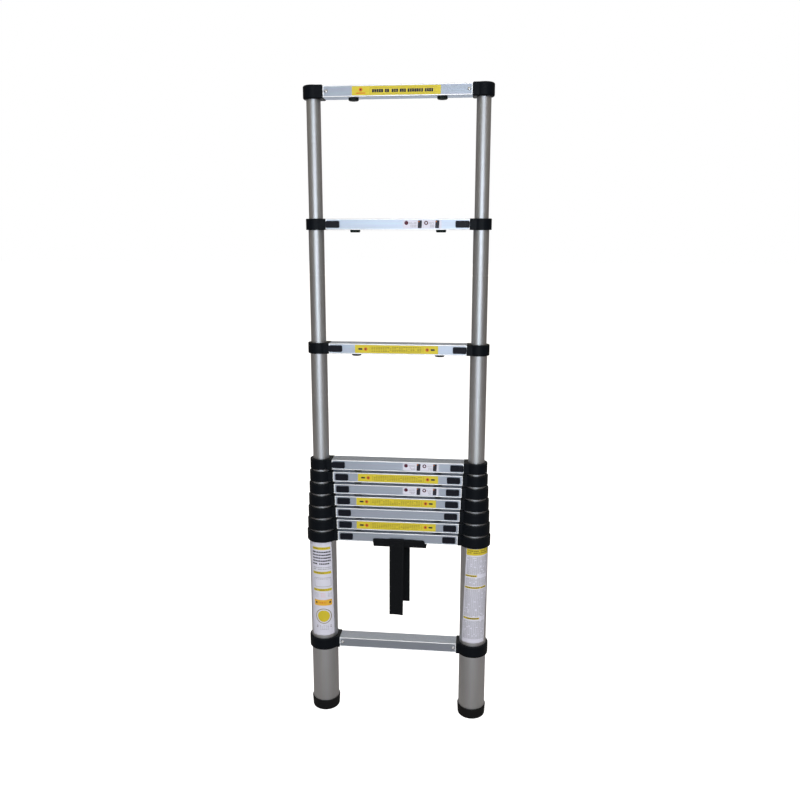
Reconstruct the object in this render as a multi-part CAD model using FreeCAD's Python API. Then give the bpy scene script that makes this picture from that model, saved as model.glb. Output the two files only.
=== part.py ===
"""Telescoping ladder: ten nested sections, eleven rungs, millimetres, +Z up.

The origin is on the floor, midway between the two feet. The rungs run along X, and the ladder's front,
with the release buttons, faces -Y. Section 1 is the topmost and slimmest, section 10 is the base.
Sections 1 to 3 stand extended and sections 4 to 9 are closed on the base.
"""
import FreeCAD
import Part
import os

# ---- Driving dimensions -------------------------------------------------------------------------------

SECTIONS = 10                 # nested tube sections
EXTENDED_SECTIONS = 3         # sections 1 to 3 stand pulled out
RUNG_SPACING = 298.0          # from rung to rung with a section pulled out
STACK_PITCH = 32.0            # from rung to rung with a section closed
BASE_TOP = 512.0              # top of the base section's collars
AXIS_SPACING = 396.0          # between the axes of the left and the right tubes

TOP_TUBE_RADIUS = 16.75       # outer radius of the slimmest tube
TUBE_STEP = 2.0               # outer radius gained from one section to the next
TUBE_WALL = 1.45
TUBE_REACH = 435.0            # from a section's top down to the lower end of its tubes

COLLAR_HEIGHT = 26.5
COLLAR_WALL = 5.5             # collar's thickness around its tube
COLLAR_LIP = 3.0              # inward lip over the tube's upper end
COLLAR_ROUND = 1.6            # rounding of a collar's outer edges
SLIDE_GAP = 0.35              # between a lip and the tube that slides through it
SEAT_GAP = 0.05               # between a moulding and the tube that it is fixed to

RUNG_HEIGHT = 26.0
RUNG_DEPTH = 40.0
RUNG_WALL = 1.8
RUNG_CORNER = 1.6             # rounding of the rung's long edges
LIP_BAND = 2.4                # raised band along the top and bottom of the rung's front and back
LIP_STEP = 0.5                # how far that band stands proud
TREAD_GROOVES = 9
TREAD_PITCH = 3.6
TREAD_GROOVE_WIDTH = 1.4
TREAD_GROOVE_DEPTH = 0.6

SOCKET_REACH = 2.7            # how far a rung socket stands inboard of its collar's ring
SOCKET_PROUD = 1.4            # socket's front and back beyond the rung's faces
SPIGOT_LENGTH = 10.0          # moulded plug inside the rung's end
SPIGOT_GAP = 0.1

CAP_RISE = 2.4                # corner cap's top above the section's top
CAP_HEIGHT = 31.0
CAP_WALL = 7.3                # corner cap's thickness around the slimmest tube
CAP_ROUND = 4.5
CAP_SOCKET_REACH = 2.0
CAP_TOP_THICKNESS = 5.0

BOTTOM_COLLAR_TOP = 212.0
BOTTOM_COLLAR_HEIGHT = 30.0

PIN_RADIUS = 4.5
PIN_GAP = 0.3                 # around a lock pin in its bores
PIN_SHY = 0.2                 # the locked pin's tip stays inside the outer tube's wall by this much
BUTTON_TRAVEL = 6.0
BUTTON_LENGTH = 33.0
BUTTON_HEIGHT = 16.0
BUTTON_PLATE = 2.4
BUTTON_PAD = 1.3              # raised thumb pad on the plate's inner part
BUTTON_PAD_LENGTH = 21.0
BUTTON_PAD_HEIGHT = 12.0
BUTTON_CORNER = 3.0
BUTTON_GAP = 0.4              # between the plate and the rung's face, and the plate and the socket
SLIDER_OFFSET = 11.5          # slider block's outboard face from the socket's face, when locked
SLIDER_LENGTH = 16.0
SLIDER_HEIGHT = 14.0
SLIDER_BACK = 7.0             # how far the slider block reaches behind the pin's axis
NECK_LENGTH = 9.0             # neck that joins the plate to the slider through the rung's slot
NECK_HEIGHT = 8.0
SLOT_GAP = 0.5

BUMPER_X = 103.0
BUMPER_RADIUS = 12.0
BUMPER_ROUND = 2.6
BUMPER_GAP = 0.05             # left above the rung below when the section is closed
BUMPER_STEM_RADIUS = 4.0
BUMPER_BARB = 3.0             # stem's length above the rung's lower wall
BUMPER_RECESS_RADIUS = 3.0
BUMPER_RECESS_DEPTH = 1.6

GUIDE_SPIGOT = 12.0           # lower guide plug, part inside the tube
GUIDE_HEAD = 6.0              # lower guide plug, part below the tube
GUIDE_GROWTH = 0.25           # guide head's radius beyond its tube's
GUIDE_VENT_RADIUS = 3.0

GROOVE_DROP = 105.0           # rolled stop groove below the collar
GROOVE_WIDTH = 2.6
GROOVE_DEPTH = 0.45

FOOT_HEIGHT = 29.0
FOOT_RIM_RADIUS = 37.6
FOOT_BASE_RADIUS = 35.9
FOOT_ROUND = 4.5
FOOT_FLOOR = 5.0
FOOT_TREAD_RADII = (14.0, 23.0)
FOOT_TREAD_WIDTH = 2.5
FOOT_TREAD_DEPTH = 1.6

WEBBING = 2.4                 # closure strap's thickness
BAND_LEFT = -64.0
BAND_RIGHT = 70.0
BAND_COVER = 10.5             # how much of the rung's front the cross band covers
BAND_DROP = 9.0               # slack below the rung
TAIL_WIDTH = 38.0
FRONT_TAIL_X = -1.0           # the front tail is sewn over the band and hangs from it
FRONT_TAIL_LENGTH = 209.5
BACK_TAIL_X = 10.0            # the back tail hangs from the band behind the rung
BACK_TAIL_LENGTH = 170.0

Z_AXIS = FreeCAD.Vector(0, 0, 1)
X_AXIS = FreeCAD.Vector(1, 0, 0)
SIDES = {"left": -1, "right": 1}


# ---- Sizes that follow from them ----------------------------------------------------------------------

def tube_radius(section):
    """Outer radius of a section's tubes."""
    return TOP_TUBE_RADIUS + TUBE_STEP * (section - 1)


def section_top(section):
    """Height of a section's top as the ladder stands."""
    closed = BASE_TOP + STACK_PITCH * (SECTIONS - section)
    pulled_out = max(0, EXTENDED_SECTIONS + 1 - section)
    return closed + pulled_out * (RUNG_SPACING - STACK_PITCH)


def rung_middle(section):
    """Height of the middle of a section's rung."""
    return section_top(section) - COLLAR_HEIGHT / 2


def socket_face(section):
    """Distance from the tube's axis to the face that the rung's end meets."""
    if section == 1:
        return tube_radius(1) + CAP_WALL + CAP_SOCKET_REACH
    return tube_radius(section) + COLLAR_WALL + SOCKET_REACH


def axis_x(side):
    """X of the left or the right tubes' axis."""
    return side * AXIS_SPACING / 2


# ---- Shapes -------------------------------------------------------------------------------------------

def cylinder(radius, x, low, high):
    """Upright cylinder on the ladder's middle plane."""
    return Part.makeCylinder(radius, high - low, FreeCAD.Vector(x, 0, low), Z_AXIS)


def pipe(outer, inner, x, low, high):
    """Upright pipe."""
    return cylinder(outer, x, low, high).cut(cylinder(inner, x, low, high))


def block(x0, x1, y0, y1, z0, z1):
    """Box between two corners, whichever way round the X values come."""
    low = min(x0, x1)
    return Part.makeBox(abs(x1 - x0), y1 - y0, z1 - z0, FreeCAD.Vector(low, y0, z0))


def level_pin(radius, x0, x1, z):
    """Round bar along X on the ladder's middle plane."""
    return Part.makeCylinder(radius, abs(x1 - x0), FreeCAD.Vector(min(x0, x1), 0, z), X_AXIS)


def edges_at(shape, height):
    """The shape's edges that lie level at a height."""
    found = []
    for edge in shape.Edges:
        box = edge.BoundBox
        if abs(box.ZMin - height) < 1e-4 and abs(box.ZMax - height) < 1e-4:
            found.append(edge)
    return found


def edges_along(shape, direction):
    """The shape's straight edges that are parallel to a direction."""
    found = []
    for edge in shape.Edges:
        if edge.Curve.TypeId == "Part::GeomLine" and abs(abs(edge.tangentAt(0).dot(direction)) - 1) < 1e-6:
            found.append(edge)
    return found


def export(node, *solids):
    """Write a node's solids to its STEP file."""
    shape = Part.makeCompound(list(solids)) if len(solids) > 1 else solids[0]
    shape.exportStep("parts/" + node + ".step")


# ---- Tubes --------------------------------------------------------------------------------------------

def stile_tube(section, side):
    """One tube, with its pin holes on the side that faces the rung and its rolled stop groove."""
    outer = tube_radius(section)
    x = axis_x(side)
    top = section_top(section)
    is_base = section == SECTIONS
    low = FOOT_FLOOR if is_base else top - TUBE_REACH
    high = top + CAP_RISE - CAP_TOP_THICKNESS if section == 1 else top - COLLAR_LIP
    tube = pipe(outer, outer - TUBE_WALL, x, low, high)
    hole = PIN_RADIUS + PIN_GAP
    inboard = x - side * outer * 1.2
    if section > 1:
        tube = tube.cut(level_pin(hole, x, inboard, rung_middle(section)))
        groove_top = top - COLLAR_HEIGHT - GROOVE_DROP
        groove = pipe(outer + 1, outer - GROOVE_DEPTH, x, groove_top - GROOVE_WIDTH, groove_top)
        tube = tube.cut(groove)
    if not is_base:
        tube = tube.cut(level_pin(hole, x, inboard, rung_middle(section) - RUNG_SPACING))
    return tube


def guide_plug(section, side):
    """Nylon plug in a tube's lower end, whose head steadies it in the next tube."""
    outer = tube_radius(section)
    x = axis_x(side)
    end = section_top(section) - TUBE_REACH
    spigot = cylinder(outer - TUBE_WALL - SEAT_GAP, x, end, end + GUIDE_SPIGOT)
    head = cylinder(outer + GUIDE_GROWTH, x, end - GUIDE_HEAD, end)
    vent = cylinder(GUIDE_VENT_RADIUS, x, end - GUIDE_HEAD, end + GUIDE_SPIGOT)
    return head.fuse(spigot).cut(vent).removeSplitter()


# ---- Collars and caps ---------------------------------------------------------------------------------

def ring_with_socket(x, side, ring_radius, face, low, high, rounding):
    """Outer form of a collar: a ring around the tube and a block that reaches to the rung's end."""
    half = RUNG_DEPTH / 2 + SOCKET_PROUD
    form = cylinder(ring_radius, x, low, high).fuse(block(x, x - side * face, -half, half, low, high))
    form = form.removeSplitter()
    return form.makeFillet(rounding, edges_at(form, low) + edges_at(form, high))


def spigot(x, side, face, middle):
    """Plug of a socket that fills the rung's hollow end."""
    half_depth = RUNG_DEPTH / 2 - RUNG_WALL - SPIGOT_GAP
    half_height = RUNG_HEIGHT / 2 - RUNG_WALL - SPIGOT_GAP
    inner = x - side * (face - 1)
    outer = x - side * (face + SPIGOT_LENGTH)
    return block(inner, outer, -half_depth, half_depth, middle - half_height, middle + half_height)


def collar(section, side):
    """Collar on a tube's upper end: ring, lip, rung socket and the lock pin's bore."""
    x = axis_x(side)
    top = section_top(section)
    middle = rung_middle(section)
    face = socket_face(section)
    radius = tube_radius(section)
    form = ring_with_socket(x, side, radius + COLLAR_WALL, face, top - COLLAR_HEIGHT, top, COLLAR_ROUND)
    form = form.fuse(spigot(x, side, face, middle))
    seat = cylinder(radius + SEAT_GAP, x, top - COLLAR_HEIGHT - 1, top - COLLAR_LIP)
    mouth = cylinder(tube_radius(section - 1) + SLIDE_GAP, x, top - COLLAR_LIP - 1, top + 1)
    bore = level_pin(PIN_RADIUS + PIN_GAP, x, x - side * (face + SPIGOT_LENGTH + 1), middle)
    return form.cut(seat.fuse(mouth)).cut(bore).removeSplitter()


def corner_cap(side):
    """Closed cap on the topmost tube, with the socket of the top rung."""
    x = axis_x(side)
    high = section_top(1) + CAP_RISE
    low = high - CAP_HEIGHT
    radius = tube_radius(1)
    face = socket_face(1)
    form = ring_with_socket(x, side, radius + CAP_WALL, face, low, high, CAP_ROUND)
    form = form.fuse(spigot(x, side, face, rung_middle(1)))
    seat = cylinder(radius + SEAT_GAP, x, low - 1, high - CAP_TOP_THICKNESS)
    return form.cut(seat).removeSplitter()


def bottom_collar(side):
    """Open collar around the base tube that carries the bottom rung."""
    x = axis_x(side)
    high = BOTTOM_COLLAR_TOP
    low = high - BOTTOM_COLLAR_HEIGHT
    radius = tube_radius(SECTIONS)
    face = socket_face(SECTIONS)
    form = ring_with_socket(x, side, radius + COLLAR_WALL, face, low, high, COLLAR_ROUND)
    form = form.fuse(spigot(x, side, face, (low + high) / 2))
    return form.cut(cylinder(radius + SEAT_GAP, x, low - 1, high + 1)).removeSplitter()


# ---- Rungs --------------------------------------------------------------------------------------------

def rung_bar(face, middle):
    """Hollow rung extrusion with raised bands on its faces and grooves in its tread."""
    half_length = AXIS_SPACING / 2 - face
    half_depth = RUNG_DEPTH / 2
    half_height = RUNG_HEIGHT / 2
    low = middle - half_height
    high = middle + half_height
    bar = block(-half_length, half_length, -half_depth, half_depth, low, high)
    bar = bar.makeFillet(RUNG_CORNER, edges_along(bar, X_AXIS))
    inside = half_depth - RUNG_WALL
    hollow = block(-half_length, half_length, -inside, inside, low + RUNG_WALL, high - RUNG_WALL)
    cutters = []
    for front in (-1, 1):
        outside = front * (half_depth + 1)
        recess = front * (half_depth - LIP_STEP)
        y0, y1 = sorted((outside, recess))
        cutters.append(block(-half_length, half_length, y0, y1, low + LIP_BAND, high - LIP_BAND))
    for index in range(TREAD_GROOVES):
        y = TREAD_PITCH * (index - (TREAD_GROOVES - 1) / 2)
        y0 = y - TREAD_GROOVE_WIDTH / 2
        y1 = y + TREAD_GROOVE_WIDTH / 2
        cutters.append(block(-half_length, half_length, y0, y1, high - TREAD_GROOVE_DEPTH, high + 1))
    return bar.cut(hollow).cut(Part.makeCompound(cutters))


def button_slot(section, side):
    """Opening in a rung's front wall that a button's neck slides in."""
    start = axis_x(side) - side * (socket_face(section) + neck_offset() - SLOT_GAP)
    end = start - side * (NECK_LENGTH + BUTTON_TRAVEL + 2 * SLOT_GAP)
    half = NECK_HEIGHT / 2 + SLOT_GAP
    middle = rung_middle(section)
    outside = -RUNG_DEPTH / 2
    return block(start, end, outside - 1, outside + RUNG_WALL + 1, middle - half, middle + half)


def stem_hole(side, middle):
    """Hole in a rung's lower wall for a bumper's stem."""
    low = middle - RUNG_HEIGHT / 2
    return cylinder(BUMPER_STEM_RADIUS + SEAT_GAP, side * BUMPER_X, low - 1, low + RUNG_WALL + 1)


def rung(section):
    """One rung with the slots and holes that its section needs."""
    middle = rung_middle(section)
    bar = rung_bar(socket_face(section), middle)
    for side in SIDES.values():
        if section > 1:
            bar = bar.cut(button_slot(section, side))
        if section < SECTIONS:
            bar = bar.cut(stem_hole(side, middle))
    return bar


def bumper(section, side):
    """Rubber bumper pushed into a rung's lower wall; the closed sections stand on these."""
    x = side * BUMPER_X
    rung_low = rung_middle(section) - RUNG_HEIGHT / 2
    low = rung_low - (STACK_PITCH - RUNG_HEIGHT - BUMPER_GAP)
    head = cylinder(BUMPER_RADIUS, x, low, rung_low)
    head = head.makeFillet(BUMPER_ROUND, edges_at(head, low))
    stem = cylinder(BUMPER_STEM_RADIUS, x, rung_low - 1, rung_low + RUNG_WALL + BUMPER_BARB)
    recess = cylinder(BUMPER_RECESS_RADIUS, x, low - 1, low + BUMPER_RECESS_DEPTH)
    return head.fuse(stem).cut(recess).removeSplitter()


# ---- Release buttons ----------------------------------------------------------------------------------

def neck_offset():
    """Distance from the socket's face to a locked button's neck, set at the slider block's middle."""
    return SLIDER_OFFSET + (SLIDER_LENGTH - NECK_LENGTH) / 2


def button_shift(section):
    """How far a button is held back: the closed tube inside its section pushes its pin inboard."""
    return 0.0 if section <= EXTENDED_SECTIONS + 1 else BUTTON_TRAVEL


def slider(section, side):
    """Thumb plate, neck and slider block as one moulding."""
    middle = rung_middle(section)
    locked = socket_face(section) + button_shift(section)
    base = axis_x(side) - side * locked
    front = -RUNG_DEPTH / 2

    def spot(offset):
        return base - side * offset

    plate_back = front - BUTTON_GAP
    plate_front = plate_back - BUTTON_PLATE
    half = BUTTON_HEIGHT / 2
    plate = block(spot(BUTTON_GAP), spot(BUTTON_GAP + BUTTON_LENGTH), plate_front, plate_back,
                  middle - half, middle + half)
    plate = plate.makeFillet(BUTTON_CORNER, edges_along(plate, FreeCAD.Vector(0, 1, 0)))
    margin = (BUTTON_HEIGHT - BUTTON_PAD_HEIGHT) / 2
    pad_end = BUTTON_GAP + BUTTON_LENGTH - margin
    pad_half = BUTTON_PAD_HEIGHT / 2
    pad = block(spot(pad_end - BUTTON_PAD_LENGTH), spot(pad_end), plate_front - BUTTON_PAD, plate_front,
                middle - pad_half, middle + pad_half)
    pad = pad.makeFillet(BUTTON_CORNER - 1, edges_along(pad, FreeCAD.Vector(0, 1, 0)))
    slider_front = front + RUNG_WALL + SLOT_GAP
    neck = block(spot(neck_offset()), spot(neck_offset() + NECK_LENGTH), plate_back, slider_front,
                 middle - NECK_HEIGHT / 2, middle + NECK_HEIGHT / 2)
    body = block(spot(SLIDER_OFFSET), spot(SLIDER_OFFSET + SLIDER_LENGTH), slider_front, SLIDER_BACK,
                 middle - SLIDER_HEIGHT / 2, middle + SLIDER_HEIGHT / 2)
    return plate.fuse([pad, neck, body]).removeSplitter()


def lock_pin(section, side):
    """Steel pin from the slider block through the socket's bore into the tube's wall."""
    x = axis_x(side)
    shift = button_shift(section)
    tip = tube_radius(section) - TUBE_WALL + PIN_SHY + shift
    root = socket_face(section) + SLIDER_OFFSET + shift
    return level_pin(PIN_RADIUS, x - side * tip, x - side * root, rung_middle(section))


# ---- Feet and strap -----------------------------------------------------------------------------------

def foot(side):
    """Rubber cap on the base tube, tapered and rounded to its flat tread."""
    x = axis_x(side)
    cone = Part.makeCone(FOOT_BASE_RADIUS, FOOT_RIM_RADIUS, FOOT_HEIGHT, FreeCAD.Vector(x, 0, 0), Z_AXIS)
    cone = cone.makeFillet(FOOT_ROUND, edges_at(cone, 0))
    cone = cone.makeFillet(1.0, edges_at(cone, FOOT_HEIGHT))
    seat = cylinder(tube_radius(SECTIONS) + SEAT_GAP, x, FOOT_FLOOR, FOOT_HEIGHT + 1)
    cone = cone.cut(seat)
    for radius in FOOT_TREAD_RADII:
        cone = cone.cut(pipe(radius + FOOT_TREAD_WIDTH, radius, x, -1, FOOT_TREAD_DEPTH))
    return cone


def cross_band():
    """Webbing band slung around the lower part of the base section's rung."""
    rung_low = rung_middle(SECTIONS) - RUNG_HEIGHT / 2
    inner = RUNG_DEPTH / 2 + SEAT_GAP
    outer = inner + WEBBING
    low = rung_low - BAND_DROP
    high = rung_low + BAND_COVER
    solid = block(BAND_LEFT, BAND_RIGHT, -outer, outer, low, high)
    solid = solid.makeFillet(BAND_DROP / 2, [edge for edge in edges_along(solid, X_AXIS)
                                             if edge.BoundBox.ZMax < low + 1])
    return solid.cut(block(BAND_LEFT - 1, BAND_RIGHT + 1, -inner, inner, low + WEBBING, high + 1))


def strap_tail(x, front, rise, length):
    """Webbing tail with its front face at a given Y, from a height above the rung's lower face down."""
    high = rung_middle(SECTIONS) - RUNG_HEIGHT / 2 + rise
    half = TAIL_WIDTH / 2
    return block(x - half, x + half, front, front + WEBBING, high - length, high)


# ---- Nodes --------------------------------------------------------------------------------------------

def build_section(section):
    """Write the nodes of one section."""
    tag = "_{:02d}".format(section)
    sides = SIDES.values()
    export("stile_tubes" + tag, *[stile_tube(section, side) for side in sides])
    export("rung" + tag, rung(section))
    mouldings = []
    for side in sides:
        mouldings.append(corner_cap(side) if section == 1 else collar(section, side))
        mouldings.append(bottom_collar(side) if section == SECTIONS else guide_plug(section, side))
    export("collars" + tag, *mouldings)
    if section < SECTIONS:
        export("rung_bumpers" + tag, *[bumper(section, side) for side in sides])
    if section > 1:
        for name, side in SIDES.items():
            node = "release_button_" + name + tag
            export(node, slider(section, side), lock_pin(section, side))


def main():
    """Write every node of the ladder."""
    os.makedirs("parts", exist_ok=True)
    for section in range(1, SECTIONS + 1):
        build_section(section)
    bottom_middle = BOTTOM_COLLAR_TOP - BOTTOM_COLLAR_HEIGHT / 2
    export("rung_{:02d}".format(SECTIONS + 1), rung_bar(socket_face(SECTIONS), bottom_middle))
    export("feet", *[foot(side) for side in SIDES.values()])
    rung_face = RUNG_DEPTH / 2 + SEAT_GAP
    front_tail = strap_tail(FRONT_TAIL_X, -rung_face - 2 * WEBBING, BAND_COVER, FRONT_TAIL_LENGTH)
    back_tail = strap_tail(BACK_TAIL_X, rung_face, -BAND_DROP, BACK_TAIL_LENGTH)
    export("closure_strap", cross_band(), front_tail, back_tail)


main()
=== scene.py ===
"""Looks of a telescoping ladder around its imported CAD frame.

Everything is in metres in the frame of the CAD: the floor is at zero, +Z is up, the rungs run
along X and the front, with the release buttons, faces -Y.
"""
import sys
import logging
import math
from dataclasses import dataclass, field
from enum import Enum
from functools import cache
from typing import Callable, Iterable, Optional, Sequence

import bmesh
import bpy
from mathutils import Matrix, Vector


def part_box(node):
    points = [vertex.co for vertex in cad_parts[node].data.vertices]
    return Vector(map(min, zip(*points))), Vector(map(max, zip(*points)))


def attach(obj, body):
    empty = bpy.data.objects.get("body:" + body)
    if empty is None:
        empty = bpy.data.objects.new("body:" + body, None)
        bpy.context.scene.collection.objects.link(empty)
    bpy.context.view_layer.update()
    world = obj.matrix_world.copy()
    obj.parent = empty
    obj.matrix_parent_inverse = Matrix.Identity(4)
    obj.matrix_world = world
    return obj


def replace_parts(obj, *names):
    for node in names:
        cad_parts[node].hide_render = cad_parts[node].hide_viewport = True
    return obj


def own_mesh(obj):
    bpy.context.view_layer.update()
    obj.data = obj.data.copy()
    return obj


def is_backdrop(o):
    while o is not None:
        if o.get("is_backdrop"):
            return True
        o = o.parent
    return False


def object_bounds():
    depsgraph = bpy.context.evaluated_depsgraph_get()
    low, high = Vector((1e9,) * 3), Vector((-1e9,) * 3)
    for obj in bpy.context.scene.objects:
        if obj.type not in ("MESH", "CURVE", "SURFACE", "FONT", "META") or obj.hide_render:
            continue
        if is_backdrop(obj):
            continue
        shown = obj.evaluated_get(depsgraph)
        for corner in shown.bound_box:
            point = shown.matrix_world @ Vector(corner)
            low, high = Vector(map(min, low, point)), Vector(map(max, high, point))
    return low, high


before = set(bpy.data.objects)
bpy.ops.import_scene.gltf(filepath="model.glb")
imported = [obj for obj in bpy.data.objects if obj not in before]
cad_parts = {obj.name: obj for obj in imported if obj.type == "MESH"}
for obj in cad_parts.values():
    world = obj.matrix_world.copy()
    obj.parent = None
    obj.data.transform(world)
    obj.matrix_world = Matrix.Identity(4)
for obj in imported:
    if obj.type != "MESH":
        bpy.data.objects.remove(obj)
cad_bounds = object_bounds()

log = logging.getLogger("ladder")

Colour = tuple[float, float, float]
Place = Callable[[float, float, float], Vector]

SECTIONS = 10
PULLED_OUT = 3                 # sections 1 to 3 stand pulled out
BASE_RUNG = 11                 # the rung below the stack, fixed to the base section
CREASE = math.radians(35)      # edges sharper than this stay sharp
LIP = 0.0005                   # how far the rungs' lips stand out from their recessed faces
MILLIMETRE = 0.001
COLUMN_WIDTH = 230.0           # from column to column of a node tree
ROW_HEIGHT = 290.0


class Side(Enum):
    """Which side of the ladder a part is on, as the sign of its X."""

    LEFT = -1
    RIGHT = 1


class Slot(Enum):
    """The record's material slots."""

    TUBE = "tube_aluminium"
    RUNG = "rung_aluminium"
    COLLAR = "collar_nylon"
    BUTTON = "button_nylon"
    BUMPER = "bumper_rubber"
    FOOT = "foot_rubber"
    STRAP = "strap_webbing"
    YELLOW = "label_yellow"
    WHITE = "label_white"
    SCREW = "screw_steel"
    SPRING = "spring_steel"


# ---- Working with pieces ------------------------------------------------------------------------

def section_body(section: int) -> str:
    """Name of the body that a section's parts move with."""
    return "root" if section == SECTIONS else f"section_{section:02d}"


def emptied(owner: bpy.types.Material | bpy.types.World
            ) -> tuple[bpy.types.Nodes, bpy.types.NodeLinks]:
    """Nodes and links of a new material or world, with nothing in them."""
    owner.use_nodes = True
    owner.node_tree.nodes.clear()
    return owner.node_tree.nodes, owner.node_tree.links


def set_out(nodes: bpy.types.Nodes,
            columns: Sequence[tuple[str, Sequence[bpy.types.Node]]]) -> None:
    """Sets nodes out in columns, with one frame round the columns of each effect.

    Args:
        nodes: the tree's nodes.
        columns: for each column, its frame's label, empty for none, and its nodes downwards.
    """
    frames = {}
    for column, (label, members) in enumerate(columns):
        if label and label not in frames:
            frames[label] = nodes.new("NodeFrame")
            frames[label].label = label
        for row, node in enumerate(members):
            node.location = (column * COLUMN_WIDTH, -row * ROW_HEIGHT)
            node.parent = frames.get(label)


def add_piece(name: str, mesh: bpy.types.Mesh, body: str, slot: Slot,
              materials: Sequence[bpy.types.Material] = ()) -> bpy.types.Object:
    """Makes a mesh a piece of the ladder.

    Args:
        name: the piece's name.
        mesh: its mesh, already in place.
        body: the CAD body it moves with.
        slot: the record's material slot; not used.
        materials: the materials to give the mesh, if it has none yet.

    Returns:
        The piece's object.
    """
    for material in materials:
        mesh.materials.append(material)
    piece = bpy.data.objects.new(name, mesh)
    bpy.context.scene.collection.objects.link(piece)
    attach(piece, body)
    log.info("piece %s: %d faces on %s", name, len(mesh.polygons), body)
    return piece


def dress(nodes: Iterable[str], material: bpy.types.Material) -> None:
    """Gives CAD nodes a material.

    Args:
        nodes: names of the nodes.
        material: their finish.
    """
    for node in nodes:
        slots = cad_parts[node].data.materials
        slots.clear()
        slots.append(material)
        log.info("dressed %s in %s", node, material.name)


def mesh_from(build: bmesh.types.BMesh, name: str, crease: float = CREASE) -> bpy.types.Mesh:
    """Ends a bmesh as a closed mesh with outward faces and smooth shading between its creases.

    Args:
        build: the bmesh, which is freed.
        name: the mesh's name.
        crease: edges sharper than this stay sharp.

    Returns:
        The mesh.
    """
    bmesh.ops.recalc_face_normals(build, faces=build.faces)
    mesh = bpy.data.meshes.new(name)
    build.to_mesh(mesh)
    build.free()
    mesh.shade_smooth()
    mesh.set_sharp_from_angle(angle=crease)
    return mesh


def rounded_box(build: bmesh.types.BMesh, low: Sequence[float], high: Sequence[float],
                edge_round: float) -> None:
    """Adds a box with rounded edges.

    Args:
        build: the bmesh to add to.
        low: its least corner.
        high: its greatest corner.
        edge_round: how far its edges are rounded.
    """
    made = bmesh.ops.create_cube(build, size=1.0)["verts"]
    for vertex in made:
        vertex.co = Vector((a + (b - a) * (part + 0.5) for a, b, part in zip(low, high, vertex.co)))
    edges = list(dict.fromkeys(edge for vertex in made for edge in vertex.link_edges))
    bmesh.ops.bevel(build, geom=edges, offset=edge_round, segments=2, affect="EDGES", profile=0.5)


def grow(name: str, seeds: bpy.types.Mesh, tree: bpy.types.NodeTree,
         sizes: dict[str, float]) -> bpy.types.Mesh:
    """Runs a Geometry Nodes tree on a mesh and keeps what grows as a plain mesh.

    Args:
        name: the new mesh's name.
        seeds: the mesh that the tree starts from.
        tree: the tree, whose inputs are named.
        sizes: a value for each named input.

    Returns:
        The plain mesh.
    """
    holder = bpy.data.objects.new(name, seeds)
    modifier = holder.modifiers.new(tree.name, "NODES")
    modifier.node_group = tree
    for item in tree.interface.items_tree:
        if item.in_out == "INPUT" and item.name in sizes:
            modifier[item.identifier] = sizes[item.name]
    bpy.context.scene.collection.objects.link(holder)
    graph = bpy.context.evaluated_depsgraph_get()
    mesh = bpy.data.meshes.new_from_object(holder.evaluated_get(graph), depsgraph=graph)
    mesh.name = name
    holder.modifiers.clear()
    bpy.data.objects.remove(holder)
    return mesh


# ---- Finishes -----------------------------------------------------------------------------------

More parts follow.
